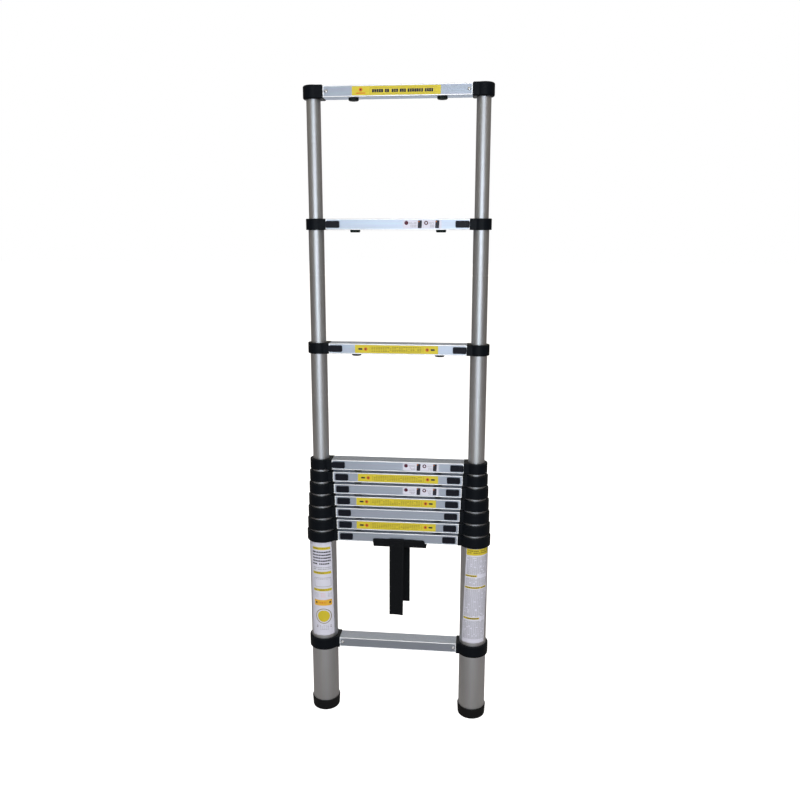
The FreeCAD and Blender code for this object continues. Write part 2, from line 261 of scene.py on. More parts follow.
@dataclass(frozen=True)
class MetalFinish:
    """Drawn, anodised or plated metal.

    The grain is how often its draw lines repeat along each axis, per metre.
    """

    name: str
    light: Colour
    dark: Colour
    grain: tuple[float, float, float]
    smooth: float
    rough: float
    line_depth: float = 0.00002
    # Near-white edge tone: partly rubbed wear, partly a painted highlight of the edges catching
    # light.
    edge_wear_and_highlight: Colour = (0.93, 0.94, 0.96)
    edge_width: float = 0.0006
    metallic: float = 1.0
    seed: float = 0.0

    @cache
    def material(self) -> bpy.types.Material:
        """Draw lines, cloudy tone, handling marks, and edges brightened partly as rubbed wear and
        partly as a painted highlight.
        """
        made = bpy.data.materials.new(self.name)
        nodes, links = emptied(made)

        coords = nodes.new("ShaderNodeTexCoord")
        coords.label = "Place on the metal"
        stretch = nodes.new("ShaderNodeMapping")
        stretch.label = "Stretch along the grain"
        lines = nodes.new("ShaderNodeTexNoise")
        lines.label = "Draw lines"
        line_height = nodes.new("ShaderNodeBump")
        line_height.label = "Draw lines' height"
        clouds = nodes.new("ShaderNodeTexNoise")
        clouds.label = "Cloudy anodising"
        cloud_tone = nodes.new("ShaderNodeMix")
        cloud_tone.label = "Anodised tone"
        streak_tone = nodes.new("ShaderNodeMix")
        streak_tone.label = "Streaks in the tone"
        scuffs = nodes.new("ShaderNodeTexNoise")
        scuffs.label = "Handling marks"
        scuff_mask = nodes.new("ShaderNodeMapRange")
        scuff_mask.label = "Only the strongest marks"
        polish = nodes.new("ShaderNodeMapRange")
        polish.label = "Polish across the lines"
        dulled = nodes.new("ShaderNodeMath")
        dulled.label = "Duller where handled"
        surface = nodes.new("ShaderNodeNewGeometry")
        surface.label = "Facing"
        # Edges found by the bevel turn towards the near-white edge tone: partly rubbed wear, partly
        # a painted highlight.
        rounded = nodes.new("ShaderNodeBevel")
        rounded.label = "Facing near an edge"
        turn = nodes.new("ShaderNodeVectorMath")
        turn.label = "How far the edge turns"
        edge_mask = nodes.new("ShaderNodeMapRange")
        edge_mask.label = "Edges worn and painted bright"
        edge_wear_and_highlight = nodes.new("ShaderNodeMix")
        edge_wear_and_highlight.label = "Painted edge highlight and wear"
        shader = nodes.new("ShaderNodeBsdfPrincipled")
        shader.label = "Metal"
        output = nodes.new("ShaderNodeOutputMaterial")
        output.label = "Surface"
        set_out(nodes, (
            ("", (coords, surface)),
            ("Draw lines", (stretch, lines, line_height)),
            ("Tone", (clouds, cloud_tone, streak_tone)),
            ("Wear and painted edge highlight", (scuffs, scuff_mask, polish, dulled)),
            ("Wear and painted edge highlight", (rounded, turn, edge_mask, edge_wear_and_highlight)),
            ("", (shader, output)),
        ))

        cloud_tone.data_type = "RGBA"
        streak_tone.data_type = "RGBA"
        streak_tone.blend_type = "SOFT_LIGHT"
        dulled.operation = "ADD"
        rounded.samples = 4
        turn.operation = "DOT_PRODUCT"
        edge_wear_and_highlight.data_type = "RGBA"
        for node, socket, value in (
                (stretch, "Location", (self.seed, self.seed * 0.7, self.seed * 0.3)),
                (stretch, "Scale", self.grain),
                (lines, "Scale", 1.0), (lines, "Detail", 3.0), (lines, "Roughness", 0.65),
                (line_height, "Strength", 0.6), (line_height, "Distance", self.line_depth),
                (cloud_tone, 6, (*self.dark, 1)), (cloud_tone, 7, (*self.light, 1)),
                (streak_tone, 0, 0.35), (scuffs, "Roughness", 0.7),
                (scuff_mask, "From Min", 0.58), (scuff_mask, "From Max", 0.75),
                (scuff_mask, "To Max", 0.09),
                (polish, "From Min", 0.3), (polish, "From Max", 0.7),
                (polish, "To Min", self.smooth), (polish, "To Max", self.rough),
                (rounded, "Radius", self.edge_width),
                (edge_mask, "From Min", 0.985), (edge_mask, "From Max", 0.88),
                (edge_mask, "To Max", 0.8), (edge_wear_and_highlight, 7, (*self.edge_wear_and_highlight, 1)),
                (shader, "Metallic", self.metallic)):
            node.inputs[socket].default_value = value

        for noise, scale, detail in ((clouds, 14.0, 4.0), (scuffs, 55.0, 6.0)):
            noise.inputs["Scale"].default_value = scale
            noise.inputs["Detail"].default_value = detail
            links.new(coords.outputs["Object"], noise.inputs["Vector"])
        links.new(coords.outputs["Object"], stretch.inputs["Vector"])
        links.new(stretch.outputs["Vector"], lines.inputs["Vector"])
        links.new(lines.outputs["Fac"], line_height.inputs["Height"])
        links.new(clouds.outputs["Fac"], cloud_tone.inputs[0])
        links.new(cloud_tone.outputs[2], streak_tone.inputs[6])
        links.new(lines.outputs["Color"], streak_tone.inputs[7])
        links.new(scuffs.outputs["Fac"], scuff_mask.inputs["Value"])
        links.new(lines.outputs["Fac"], polish.inputs["Value"])
        links.new(polish.outputs["Result"], dulled.inputs[0])
        links.new(scuff_mask.outputs["Result"], dulled.inputs[1])
        links.new(surface.outputs["Normal"], turn.inputs[0])
        links.new(rounded.outputs["Normal"], turn.inputs[1])
        links.new(turn.outputs["Value"], edge_mask.inputs["Value"])
        links.new(edge_mask.outputs["Result"], edge_wear_and_highlight.inputs[0])
        links.new(streak_tone.outputs[2], edge_wear_and_highlight.inputs[6])
        links.new(edge_wear_and_highlight.outputs[2], shader.inputs["Base Color"])
        links.new(dulled.outputs["Value"], shader.inputs["Roughness"])
        links.new(line_height.outputs["Normal"], shader.inputs["Normal"])
        links.new(shader.outputs["BSDF"], output.inputs["Surface"])
        return made


@dataclass(frozen=True)
class MouldedFinish:
    """Moulded nylon or rubber with a fine pebbled skin. The pebble is its size in metres."""

    name: str
    deep: Colour
    worn: Colour
    pebble: float = 0.0009
    pebble_height: float = 0.00004
    smooth: float = 0.36
    rough: float = 0.52
    specular: float = 0.5
    edge_width: float = 0.0009

    @cache
    def material(self) -> bpy.types.Material:
        """Pebbled skin, mottled tone and paler, scuffed edges."""
        made = bpy.data.materials.new(self.name)
        nodes, links = emptied(made)

        coords = nodes.new("ShaderNodeTexCoord")
        coords.label = "Place on the moulding"
        pebbles = nodes.new("ShaderNodeTexVoronoi")
        pebbles.label = "Pebbled skin"
        flow = nodes.new("ShaderNodeTexNoise")
        flow.label = "Slow flow of the melt"
        skin = nodes.new("ShaderNodeBump")
        skin.label = "Pebbles' height"
        warp = nodes.new("ShaderNodeBump")
        warp.label = "Slight unevenness"
        mottle = nodes.new("ShaderNodeTexNoise")
        mottle.label = "Mottled gloss"
        gloss = nodes.new("ShaderNodeMapRange")
        gloss.label = "Gloss from dull to shiny"
        surface = nodes.new("ShaderNodeNewGeometry")
        surface.label = "Facing"
        rounded = nodes.new("ShaderNodeBevel")
        rounded.label = "Facing near an edge"
        turn = nodes.new("ShaderNodeVectorMath")
        turn.label = "How far the edge turns"
        edge_mask = nodes.new("ShaderNodeMapRange")
        edge_mask.label = "Scuffed edges"
        broken = nodes.new("ShaderNodeMath")
        broken.label = "Scuffs come and go"
        tone = nodes.new("ShaderNodeMix")
        tone.label = "Worn paler"
        shader = nodes.new("ShaderNodeBsdfPrincipled")
        shader.label = "Moulding"
        output = nodes.new("ShaderNodeOutputMaterial")
        output.label = "Surface"
        set_out(nodes, (
            ("", (coords, surface)),
            ("Pebbled skin", (pebbles, flow, skin, warp)),
            ("Gloss", (mottle, gloss)),
            ("Scuffed edges", (rounded, turn, edge_mask, broken)),
            ("Scuffed edges", (tone,)),
            ("", (shader, output)),
        ))

        rounded.samples = 4
        turn.operation = "DOT_PRODUCT"
        broken.operation = "MULTIPLY"
        tone.data_type = "RGBA"
        for node, socket, value in (
                (pebbles, "Scale", 1 / self.pebble),
                (skin, "Strength", 0.5), (skin, "Distance", self.pebble_height),
                (warp, "Strength", 0.35), (warp, "Distance", 0.0003),
                (gloss, "From Min", 0.3), (gloss, "From Max", 0.7),
                (gloss, "To Min", self.smooth), (gloss, "To Max", self.rough),
                (rounded, "Radius", self.edge_width),
                (edge_mask, "From Min", 0.985), (edge_mask, "From Max", 0.86),
                (tone, 6, (*self.deep, 1)), (tone, 7, (*self.worn, 1)),
                (shader, "Specular IOR Level", self.specular)):
            node.inputs[socket].default_value = value

        for noise, scale, detail in ((flow, 60.0, 2.0), (mottle, 130.0, 5.0)):
            noise.inputs["Scale"].default_value = scale
            noise.inputs["Detail"].default_value = detail
            links.new(coords.outputs["Object"], noise.inputs["Vector"])
        links.new(coords.outputs["Object"], pebbles.inputs["Vector"])
        links.new(flow.outputs["Fac"], warp.inputs["Height"])
        links.new(pebbles.outputs["Distance"], skin.inputs["Height"])
        links.new(warp.outputs["Normal"], skin.inputs["Normal"])
        links.new(mottle.outputs["Fac"], gloss.inputs["Value"])
        links.new(surface.outputs["Normal"], turn.inputs[0])
        links.new(rounded.outputs["Normal"], turn.inputs[1])
        links.new(turn.outputs["Value"], edge_mask.inputs["Value"])
        links.new(edge_mask.outputs["Result"], broken.inputs[0])
        links.new(mottle.outputs["Fac"], broken.inputs[1])
        links.new(broken.outputs["Value"], tone.inputs[0])
        links.new(tone.outputs[2], shader.inputs["Base Color"])
        links.new(gloss.outputs["Result"], shader.inputs["Roughness"])
        links.new(skin.outputs["Normal"], shader.inputs["Normal"])
        links.new(shader.outputs["BSDF"], output.inputs["Surface"])
        return made


@dataclass(frozen=True)
class FilmFinish:
    """Printed plastic film, or an ink on it."""

    name: str
    colour: Colour
    faded: Colour
    roughness: float = 0.42
    coat: float = 0.05
    specular: float = 0.2

    @cache
    def material(self) -> bpy.types.Material:
        """Slightly uneven ink under a satin laminate with a faint ripple."""
        made = bpy.data.materials.new(self.name)
        nodes, links = emptied(made)

        coords = nodes.new("ShaderNodeTexCoord")
        coords.label = "Place on the film"
        screen = nodes.new("ShaderNodeTexNoise")
        screen.label = "Grain of the print"
        fading = nodes.new("ShaderNodeTexNoise")
        fading.label = "Slow fading"
        uneven = nodes.new("ShaderNodeMath")
        uneven.label = "Grain over fading"
        tone = nodes.new("ShaderNodeMix")
        tone.label = "Ink from full to faded"
        ripple = nodes.new("ShaderNodeTexNoise")
        ripple.label = "Ripple of the laminate"
        height = nodes.new("ShaderNodeBump")
        height.label = "Ripple's height"
        satin = nodes.new("ShaderNodeMapRange")
        satin.label = "Satin from smooth to dull"
        shader = nodes.new("ShaderNodeBsdfPrincipled")
        shader.label = "Film"
        output = nodes.new("ShaderNodeOutputMaterial")
        output.label = "Surface"
        set_out(nodes, (
            ("", (coords,)),
            ("Ink", (screen, fading, uneven, tone)),
            ("Laminate", (ripple, height, satin)),
            ("", (shader, output)),
        ))

        uneven.operation = "MULTIPLY"
        tone.data_type = "RGBA"
        for node, socket, value in (
                (tone, 6, (*self.colour, 1)), (tone, 7, (*self.faded, 1)),
                (height, "Strength", 0.25), (height, "Distance", 0.00008),
                (satin, "To Min", self.roughness - 0.06),
                (satin, "To Max", self.roughness + 0.06),
                (shader, "Specular IOR Level", self.specular), (shader, "Coat Weight", self.coat),
                (shader, "Coat Roughness", 0.2)):
            node.inputs[socket].default_value = value

        for noise, scale, detail in ((screen, 2600.0, 1.0), (fading, 35.0, 3.0),
                                     (ripple, 180.0, 2.0)):
            noise.inputs["Scale"].default_value = scale
            noise.inputs["Detail"].default_value = detail
            links.new(coords.outputs["Object"], noise.inputs["Vector"])
        links.new(screen.outputs["Fac"], uneven.inputs[0])
        links.new(fading.outputs["Fac"], uneven.inputs[1])
        links.new(uneven.outputs["Value"], tone.inputs[0])
        links.new(tone.outputs[2], shader.inputs["Base Color"])
        links.new(ripple.outputs["Fac"], height.inputs["Height"])
        links.new(fading.outputs["Fac"], satin.inputs["Value"])
        links.new(satin.outputs["Result"], shader.inputs["Roughness"])
        links.new(height.outputs["Normal"], shader.inputs["Normal"])
        links.new(shader.outputs["BSDF"], output.inputs["Surface"])
        return made


@dataclass(frozen=True)
class WebbingFinish:
    """Woven strap. Its pattern follows a map in metres: across the webbing, then along it."""

    name: str
    yarn: Colour
    worn: Colour
    across: float = 0.0012
    along: float = 0.0009
    map_name: str = "weave"

    @cache
    def material(self) -> bpy.types.Material:
        """Plain weave of flat yarns with fuzz and a soft sheen."""
        made = bpy.data.materials.new(self.name)
        nodes, links = emptied(made)

        weave_map = nodes.new("ShaderNodeUVMap")
        weave_map.label = "Across and along the webbing"
        parts = nodes.new("ShaderNodeSeparateXYZ")
        parts.label = "Two directions"
        warp_phase = nodes.new("ShaderNodeMath")
        warp_phase.label = "Warp yarns"
        warp_wave = nodes.new("ShaderNodeMath")
        warp_wave.label = "Warp yarns' rise"
        weft_phase = nodes.new("ShaderNodeMath")
        weft_phase.label = "Weft yarns"
        weft_wave = nodes.new("ShaderNodeMath")
        weft_wave.label = "Weft yarns' rise"
        crossing = nodes.new("ShaderNodeMath")
        crossing.label = "Over and under"
        weave_height = nodes.new("ShaderNodeBump")
        weave_height.label = "Yarns' height"
        coords = nodes.new("ShaderNodeTexCoord")
        coords.label = "Place on the strap"
        fuzz = nodes.new("ShaderNodeTexNoise")
        fuzz.label = "Fuzz"
        fuzz_height = nodes.new("ShaderNodeBump")
        fuzz_height.label = "Fuzz's height"
        depth = nodes.new("ShaderNodeMapRange")
        depth.label = "Paler on the raised yarns"
        tone = nodes.new("ShaderNodeMix")
        tone.label = "Yarn colour"
        shader = nodes.new("ShaderNodeBsdfPrincipled")
        shader.label = "Yarn"
        output = nodes.new("ShaderNodeOutputMaterial")
        output.label = "Surface"
        set_out(nodes, (
            ("Weave", (weave_map, parts)),
            ("Weave", (warp_phase, warp_wave)),
            ("Weave", (weft_phase, weft_wave)),
            ("Weave", (crossing, weave_height)),
            ("Fuzz", (coords, fuzz, fuzz_height)),
            ("", (depth, tone)),
            ("", (shader, output)),
        ))

        weave_map.uv_map = self.map_name
        warp_phase.operation = "MULTIPLY"
        warp_wave.operation = "SINE"
        weft_phase.operation = "MULTIPLY"
        weft_wave.operation = "SINE"
        crossing.operation = "MULTIPLY"
        tone.data_type = "RGBA"
        for node, socket, value in (
                (warp_phase, 1, math.tau / self.across), (weft_phase, 1, math.tau / self.along),
                (weave_height, "Strength", 0.9), (weave_height, "Distance", 0.00012),
                (fuzz, "Scale", 1500.0), (fuzz, "Detail", 3.0),
                (fuzz_height, "Strength", 0.5), (fuzz_height, "Distance", 0.00008),
                (depth, "From Min", -1.0), (depth, "To Max", 0.6),
                (tone, 6, (*self.yarn, 1)), (tone, 7, (*self.worn, 1)),
                (shader, "Roughness", 0.82), (shader, "Specular IOR Level", 0.1),
                (shader, "Sheen Weight", 0.02), (shader, "Sheen Roughness", 0.5)):
            node.inputs[socket].default_value = value

        links.new(weave_map.outputs["UV"], parts.inputs["Vector"])
        links.new(parts.outputs["X"], warp_phase.inputs[0])
        links.new(parts.outputs["Y"], weft_phase.inputs[0])
        links.new(warp_phase.outputs["Value"], warp_wave.inputs[0])
        links.new(weft_phase.outputs["Value"], weft_wave.inputs[0])
        links.new(warp_wave.outputs["Value"], crossing.inputs[0])
        links.new(weft_wave.outputs["Value"], crossing.inputs[1])
        links.new(crossing.outputs["Value"], weave_height.inputs["Height"])
        links.new(coords.outputs["Object"], fuzz.inputs["Vector"])
        links.new(fuzz.outputs["Fac"], fuzz_height.inputs["Height"])
        links.new(weave_height.outputs["Normal"], fuzz_height.inputs["Normal"])
        links.new(crossing.outputs["Value"], depth.inputs["Value"])
        links.new(depth.outputs["Result"], tone.inputs[0])
        links.new(tone.outputs[2], shader.inputs["Base Color"])
        links.new(fuzz_height.outputs["Normal"], shader.inputs["Normal"])
        links.new(shader.outputs["BSDF"], output.inputs["Surface"])
        return made


TUBE_ALUMINIUM = MetalFinish(
    "drawn tube aluminium", light=(0.75, 0.775, 0.81), dark=(0.66, 0.68, 0.715),
    grain=(700.0, 700.0, 5.0), smooth=0.40, rough=0.52)
RUNG_ALUMINIUM = MetalFinish(
    "extruded rung aluminium", light=(0.585, 0.65, 0.76), dark=(0.51, 0.57, 0.67),
    grain=(4.0, 800.0, 800.0), smooth=0.38, rough=0.50, seed=3.7)
# Lip finish: real aluminium lips, made near-white and mostly non-metallic as a painted highlight of
# their edges catching light.
LIP_PAINTED_HIGHLIGHT = MetalFinish(
    "bright cut aluminium", light=(0.90, 0.92, 0.96), dark=(0.82, 0.84, 0.88),
    grain=(500.0, 500.0, 40.0), smooth=0.30, rough=0.42, metallic=0.15, seed=6.2)
PLATED_STEEL = MetalFinish(
    "bright plated steel", light=(0.86, 0.86, 0.86), dark=(0.70, 0.70, 0.71),
    grain=(900.0, 900.0, 900.0), smooth=0.16, rough=0.30, line_depth=0.000006,
    edge_width=0.0003, seed=9.1)
SPRING_STEEL = MetalFinish(
    "spring steel wire", light=(0.55, 0.55, 0.56), dark=(0.38, 0.38, 0.40),
    grain=(700.0, 700.0, 700.0), smooth=0.22, rough=0.36, line_depth=0.000008,
    edge_width=0.0002, seed=5.3)
COLLAR_NYLON = MouldedFinish(
    "black collar nylon", deep=(0.0026, 0.0038, 0.0058), worn=(0.016, 0.020, 0.027),
    specular=0.11)
BUTTON_NYLON = MouldedFinish(
    "black button nylon", deep=(0.0042, 0.0050, 0.0095), worn=(0.022, 0.025, 0.036),
    pebble=0.0006, smooth=0.32, rough=0.46, specular=0.16, edge_width=0.0006)
BUMPER_RUBBER = MouldedFinish(
    "dark bumper rubber", deep=(0.005, 0.010, 0.009), worn=(0.03, 0.042, 0.038),
    pebble=0.0012, smooth=0.5, rough=0.68, specular=0.25)
FOOT_RUBBER = MouldedFinish(
    "black foot rubber", deep=(0.0048, 0.0048, 0.0052), worn=(0.03, 0.03, 0.031),
    pebble=0.0014, pebble_height=0.00007, smooth=0.55, rough=0.72, specular=0.25)
STRAP_WEBBING = WebbingFinish(
    "black strap webbing", yarn=(0.0025, 0.003, 0.0038), worn=(0.009, 0.010, 0.012))
STRAP_THREAD = WebbingFinish(
    "black sewing thread", yarn=(0.012, 0.012, 0.014), worn=(0.035, 0.035, 0.04),
    across=0.0003, along=0.0003)
YELLOW_FILM = FilmFinish("yellow film", colour=(0.50, 0.41, 0.025), faded=(0.58, 0.48, 0.06))
WHITE_FILM = FilmFinish("white film", colour=(0.55, 0.55, 0.635), faded=(0.61, 0.61, 0.695))


class Ink(Enum):
    """The inks of the labels, in the order of a label's material slots after its film."""

    DARK = FilmFinish("dark ink", colour=(0.014, 0.014, 0.022), faded=(0.035, 0.035, 0.045))
    GREY = FilmFinish("grey ink", colour=(0.27, 0.27, 0.31), faded=(0.40, 0.40, 0.45))
    OLIVE = FilmFinish("olive ink", colour=(0.15, 0.125, 0.02), faded=(0.22, 0.18, 0.03))
    YELLOW = FilmFinish("yellow ink", colour=(0.50, 0.40, 0.025), faded=(0.58, 0.47, 0.06))
    ORANGE = FilmFinish("orange ink", colour=(0.50, 0.12, 0.01), faded=(0.58, 0.17, 0.02))
    AMBER = FilmFinish("amber ink", colour=(0.62, 0.34, 0.035), faded=(0.70, 0.42, 0.06))
    PLUM = FilmFinish("plum ink", colour=(0.055, 0.008, 0.02), faded=(0.10, 0.02, 0.035))
    PINK = FilmFinish("pink ink", colour=(0.60, 0.28, 0.33), faded=(0.68, 0.40, 0.44))


INKS = tuple(Ink)


# ---- Trees for what repeats ---------------------------------------------------------------------

def new_tree(name: str, seeds: str, grown: str, sizes: Sequence[str],
             counts: Sequence[str] = ()) -> bpy.types.NodeTree:
    """Geometry Nodes tree with named inputs and no nodes yet.

    Args:
        name: the tree's name.
        seeds: name of the geometry it starts from.
        grown: name of the geometry it makes.
        sizes: names of its sizes.
        counts: names of its whole numbers.

    Returns:
        The tree.
    """
    tree = bpy.data.node_groups.new(name, "GeometryNodeTree")
    for kind, labels in (("Geometry", (seeds,)), ("Int", counts), ("Float", sizes)):
        for label in labels:
            tree.interface.new_socket(label, in_out="INPUT", socket_type=f"NodeSocket{kind}")
    tree.interface.new_socket(grown, in_out="OUTPUT", socket_type="NodeSocketGeometry")
    return tree


def keep_instances(tree: bpy.types.NodeTree, instances: bpy.types.Node,
                   material: bpy.types.Material) -> tuple[bpy.types.Node, ...]:
    """Ends a tree: its instances become real meshes with smooth shading and their finish.

    Args:
        tree: the tree.
        instances: the node that makes the instances.
        material: their finish.

    Returns:
        The nodes that do it, in order.
    """
    nodes, links = tree.nodes, tree.links
    solid = nodes.new("GeometryNodeRealizeInstances")
    solid.label = "Make them real"
    smooth = nodes.new("GeometryNodeSetShadeSmooth")
    smooth.label = "Smooth surfaces"
    finish = nodes.new("GeometryNodeSetMaterial")
    finish.label = "Finish"
    result = nodes.new("NodeGroupOutput")
    result.label = "What has grown"
    finish.inputs["Material"].default_value = material
    links.new(instances.outputs["Instances"], solid.inputs["Geometry"])
    links.new(solid.outputs["Geometry"], smooth.inputs["Geometry"])
    links.new(smooth.outputs["Geometry"], finish.inputs["Geometry"])
    links.new(finish.outputs["Geometry"], result.inputs[0])
    return solid, smooth, finish, result


@cache
def screw_tree(material: bpy.types.Material) -> bpy.types.NodeTree:
    """Domed cross-head screw on each point, facing along the point's own direction.

    Args:
        material: the screws' finish.

    Returns:
        The tree, with the head's and the shank's sizes as inputs.
    """
    tree = new_tree("Screws on points", "Points", "Screws", (
        "Head Radius", "Dome Share", "Cross Length", "Cross Width", "Cross Depth", "Shank Radius",
        "Shank Length"))
    nodes, links = tree.nodes, tree.links

    sizes = nodes.new("NodeGroupInput")
    sizes.label = "Sizes"
    ball = nodes.new("GeometryNodeMeshUVSphere")
    ball.label = "Ball for the dome"
    place = nodes.new("GeometryNodeInputPosition")
    place.label = "Place on the ball"
    split = nodes.new("ShaderNodeSeparateXYZ")
    split.label = "Height on the ball"
    above = nodes.new("ShaderNodeMath")
    above.label = "Nothing below the seat"
    lower = nodes.new("ShaderNodeMath")
    lower.label = "Flatten to a dome"
    dome_place = nodes.new("ShaderNodeCombineXYZ")
    dome_place.label = "Place on the dome"
    dome = nodes.new("GeometryNodeSetPosition")
    dome.label = "Domed head"
    seat = nodes.new("GeometryNodeMergeByDistance")
    seat.label = "Weld the seat"
    dome_height = nodes.new("ShaderNodeMath")
    dome_height.label = "Dome's height"
    bar_size = nodes.new("ShaderNodeCombineXYZ")
    bar_size.label = "Cross arm's size"
    cross_depth = nodes.new("ShaderNodeMath")
    cross_depth.label = "Cross twice as deep"
    arm = nodes.new("GeometryNodeMeshCube")
    arm.label = "Cross arm"
    lift = nodes.new("ShaderNodeCombineXYZ")
    lift.label = "Centre on the dome's top"
    arm_one = nodes.new("GeometryNodeTransform")
    arm_one.label = "First arm"
    arm_two = nodes.new("GeometryNodeTransform")
    arm_two.label = "Second arm, a quarter turn on"
    recess = nodes.new("GeometryNodeMeshBoolean")
    recess.label = "Cross recess"
    shank = nodes.new("GeometryNodeMeshCylinder")
    shank.label = "Shank"
    half_shank = nodes.new("ShaderNodeMath")
    half_shank.label = "Half the shank, downwards"
    shank_drop = nodes.new("ShaderNodeCombineXYZ")
    shank_drop.label = "Below the seat"
    shank_place = nodes.new("GeometryNodeTransform")
    shank_place.label = "Shank below the head"
    screw = nodes.new("GeometryNodeJoinGeometry")
    screw.label = "Head and shank"
    facing = nodes.new("GeometryNodeInputNamedAttribute")
    facing.label = "Way the screw faces"
    turn = nodes.new("FunctionNodeAlignRotationToVector")
    turn.label = "Turn the head outwards"
    on_points = nodes.new("GeometryNodeInstanceOnPoints")
    on_points.label = "A screw on each point"
    ending = keep_instances(tree, on_points, material)
    set_out(nodes, (
        ("", (sizes,)),
        ("Domed head", (ball, place, split)),
        ("Domed head", (above, lower, dome_place)),
        ("Domed head", (dome, seat, dome_height)),
        ("Cross recess", (cross_depth, bar_size, arm, lift)),
        ("Cross recess", (arm_one, arm_two, recess)),
        ("Shank", (shank, half_shank, shank_drop, shank_place)),
        ("On the points", (screw, facing, turn, on_points)),
        ("", ending),
    ))

    above.operation = "MAXIMUM"
    lower.operation = "MULTIPLY"
    dome_height.operation = "MULTIPLY"
    cross_depth.operation = "MULTIPLY"
    recess.operation = "DIFFERENCE"
    recess.solver = "EXACT"
    half_shank.operation = "MULTIPLY"
    facing.data_type = "FLOAT_VECTOR"
    for node, socket, value in (
            (ball, "Segments", 32), (ball, "Rings", 16), (above, 1, 0.0),
            (seat, "Distance", 0.00001), (cross_depth, 1, 2.0),
            (arm_two, "Rotation", (0.0, 0.0, math.pi / 2)), (shank, "Vertices", 16),
            (half_shank, 1, -0.5), (facing, "Name", "facing")):
        node.inputs[socket].default_value = value
    turn.axis = "Z"

    links.new(sizes.outputs["Head Radius"], ball.inputs["Radius"])
    links.new(place.outputs["Position"], split.inputs["Vector"])
    links.new(split.outputs["Z"], above.inputs[0])
    links.new(above.outputs["Value"], lower.inputs[0])
    links.new(sizes.outputs["Dome Share"], lower.inputs[1])
    links.new(split.outputs["X"], dome_place.inputs["X"])
    links.new(split.outputs["Y"], dome_place.inputs["Y"])
    links.new(lower.outputs["Value"], dome_place.inputs["Z"])
    links.new(ball.outputs["Mesh"], dome.inputs["Geometry"])
    links.new(dome_place.outputs["Vector"], dome.inputs["Position"])
    links.new(dome.outputs["Geometry"], seat.inputs["Geometry"])
    links.new(sizes.outputs["Head Radius"], dome_height.inputs[0])
    links.new(sizes.outputs["Dome Share"], dome_height.inputs[1])
    links.new(sizes.outputs["Cross Depth"], cross_depth.inputs[0])
    links.new(sizes.outputs["Cross Length"], bar_size.inputs["X"])
    links.new(sizes.outputs["Cross Width"], bar_size.inputs["Y"])
    links.new(cross_depth.outputs["Value"], bar_size.inputs["Z"])
    links.new(bar_size.outputs["Vector"], arm.inputs["Size"])
    links.new(dome_height.outputs["Value"], lift.inputs["Z"])
    links.new(arm.outputs["Mesh"], arm_one.inputs["Geometry"])
    links.new(arm.outputs["Mesh"], arm_two.inputs["Geometry"])
    links.new(lift.outputs["Vector"], arm_one.inputs["Translation"])
    links.new(lift.outputs["Vector"], arm_two.inputs["Translation"])
    links.new(seat.outputs["Geometry"], recess.inputs["Mesh 1"])
    links.new(arm_one.outputs["Geometry"], recess.inputs["Mesh 2"])
    links.new(arm_two.outputs["Geometry"], recess.inputs["Mesh 2"])
    links.new(sizes.outputs["Shank Radius"], shank.inputs["Radius"])
    links.new(sizes.outputs["Shank Length"], shank.inputs["Depth"])
    links.new(sizes.outputs["Shank Length"], half_shank.inputs[0])
    links.new(half_shank.outputs["Value"], shank_drop.inputs["Z"])
    links.new(shank.outputs["Mesh"], shank_place.inputs["Geometry"])
    links.new(shank_drop.outputs["Vector"], shank_place.inputs["Translation"])
    links.new(recess.outputs["Mesh"], screw.inputs["Geometry"])
    links.new(shank_place.outputs["Geometry"], screw.inputs["Geometry"])
    links.new(facing.outputs["Attribute"], turn.inputs["Vector"])
    links.new(sizes.outputs["Points"], on_points.inputs["Points"])
    links.new(screw.outputs["Geometry"], on_points.inputs["Instance"])
    links.new(turn.outputs["Rotation"], on_points.inputs["Rotation"])
    return tree


@cache
def spring_tree(material: bpy.types.Material) -> bpy.types.NodeTree:
    """Coil spring from each point towards +X.

    Args:
        material: the wire's finish.

    Returns:
        The tree, with the spring's turns and sizes as inputs.
    """
    tree = new_tree("Springs on points", "Points", "Springs",
                    ("Turns", "Coil Radius", "Length", "Wire Radius"))
    nodes, links = tree.nodes, tree.links

    sizes = nodes.new("NodeGroupInput")
    sizes.label = "Sizes"
    coil = nodes.new("GeometryNodeCurveSpiral")
    coil.label = "Coil"
    wire = nodes.new("GeometryNodeCurvePrimitiveCircle")
    wire.label = "Wire's section"
    sweep = nodes.new("GeometryNodeCurveToMesh")
    sweep.label = "Wire along the coil"
    tip = nodes.new("GeometryNodeTransform")
    tip.label = "Lay the coil along X"
    on_points = nodes.new("GeometryNodeInstanceOnPoints")
    on_points.label = "A spring on each point"
    ending = keep_instances(tree, on_points, material)
    set_out(nodes, (
        ("", (sizes,)),
        ("Coil", (coil, wire)),
        ("Coil", (sweep, tip)),
        ("On the points", (on_points,)),
        ("", ending),
    ))

    for node, socket, value in (
            (coil, "Resolution", 18), (wire, "Resolution", 8), (sweep, "Fill Caps", True),
            (tip, "Rotation", (0.0, math.pi / 2, 0.0))):
        node.inputs[socket].default_value = value

    links.new(sizes.outputs["Turns"], coil.inputs["Rotations"])
    links.new(sizes.outputs["Coil Radius"], coil.inputs["Start Radius"])
    links.new(sizes.outputs["Coil Radius"], coil.inputs["End Radius"])
    links.new(sizes.outputs["Length"], coil.inputs["Height"])
    links.new(sizes.outputs["Wire Radius"], wire.inputs["Radius"])
    links.new(coil.outputs["Curve"], sweep.inputs["Curve"])
    links.new(wire.outputs["Curve"], sweep.inputs["Profile Curve"])
    links.new(sweep.outputs["Mesh"], tip.inputs["Geometry"])
    links.new(sizes.outputs["Points"], on_points.inputs["Points"])
    links.new(tip.outputs["Geometry"], on_points.inputs["Instance"])
    return tree


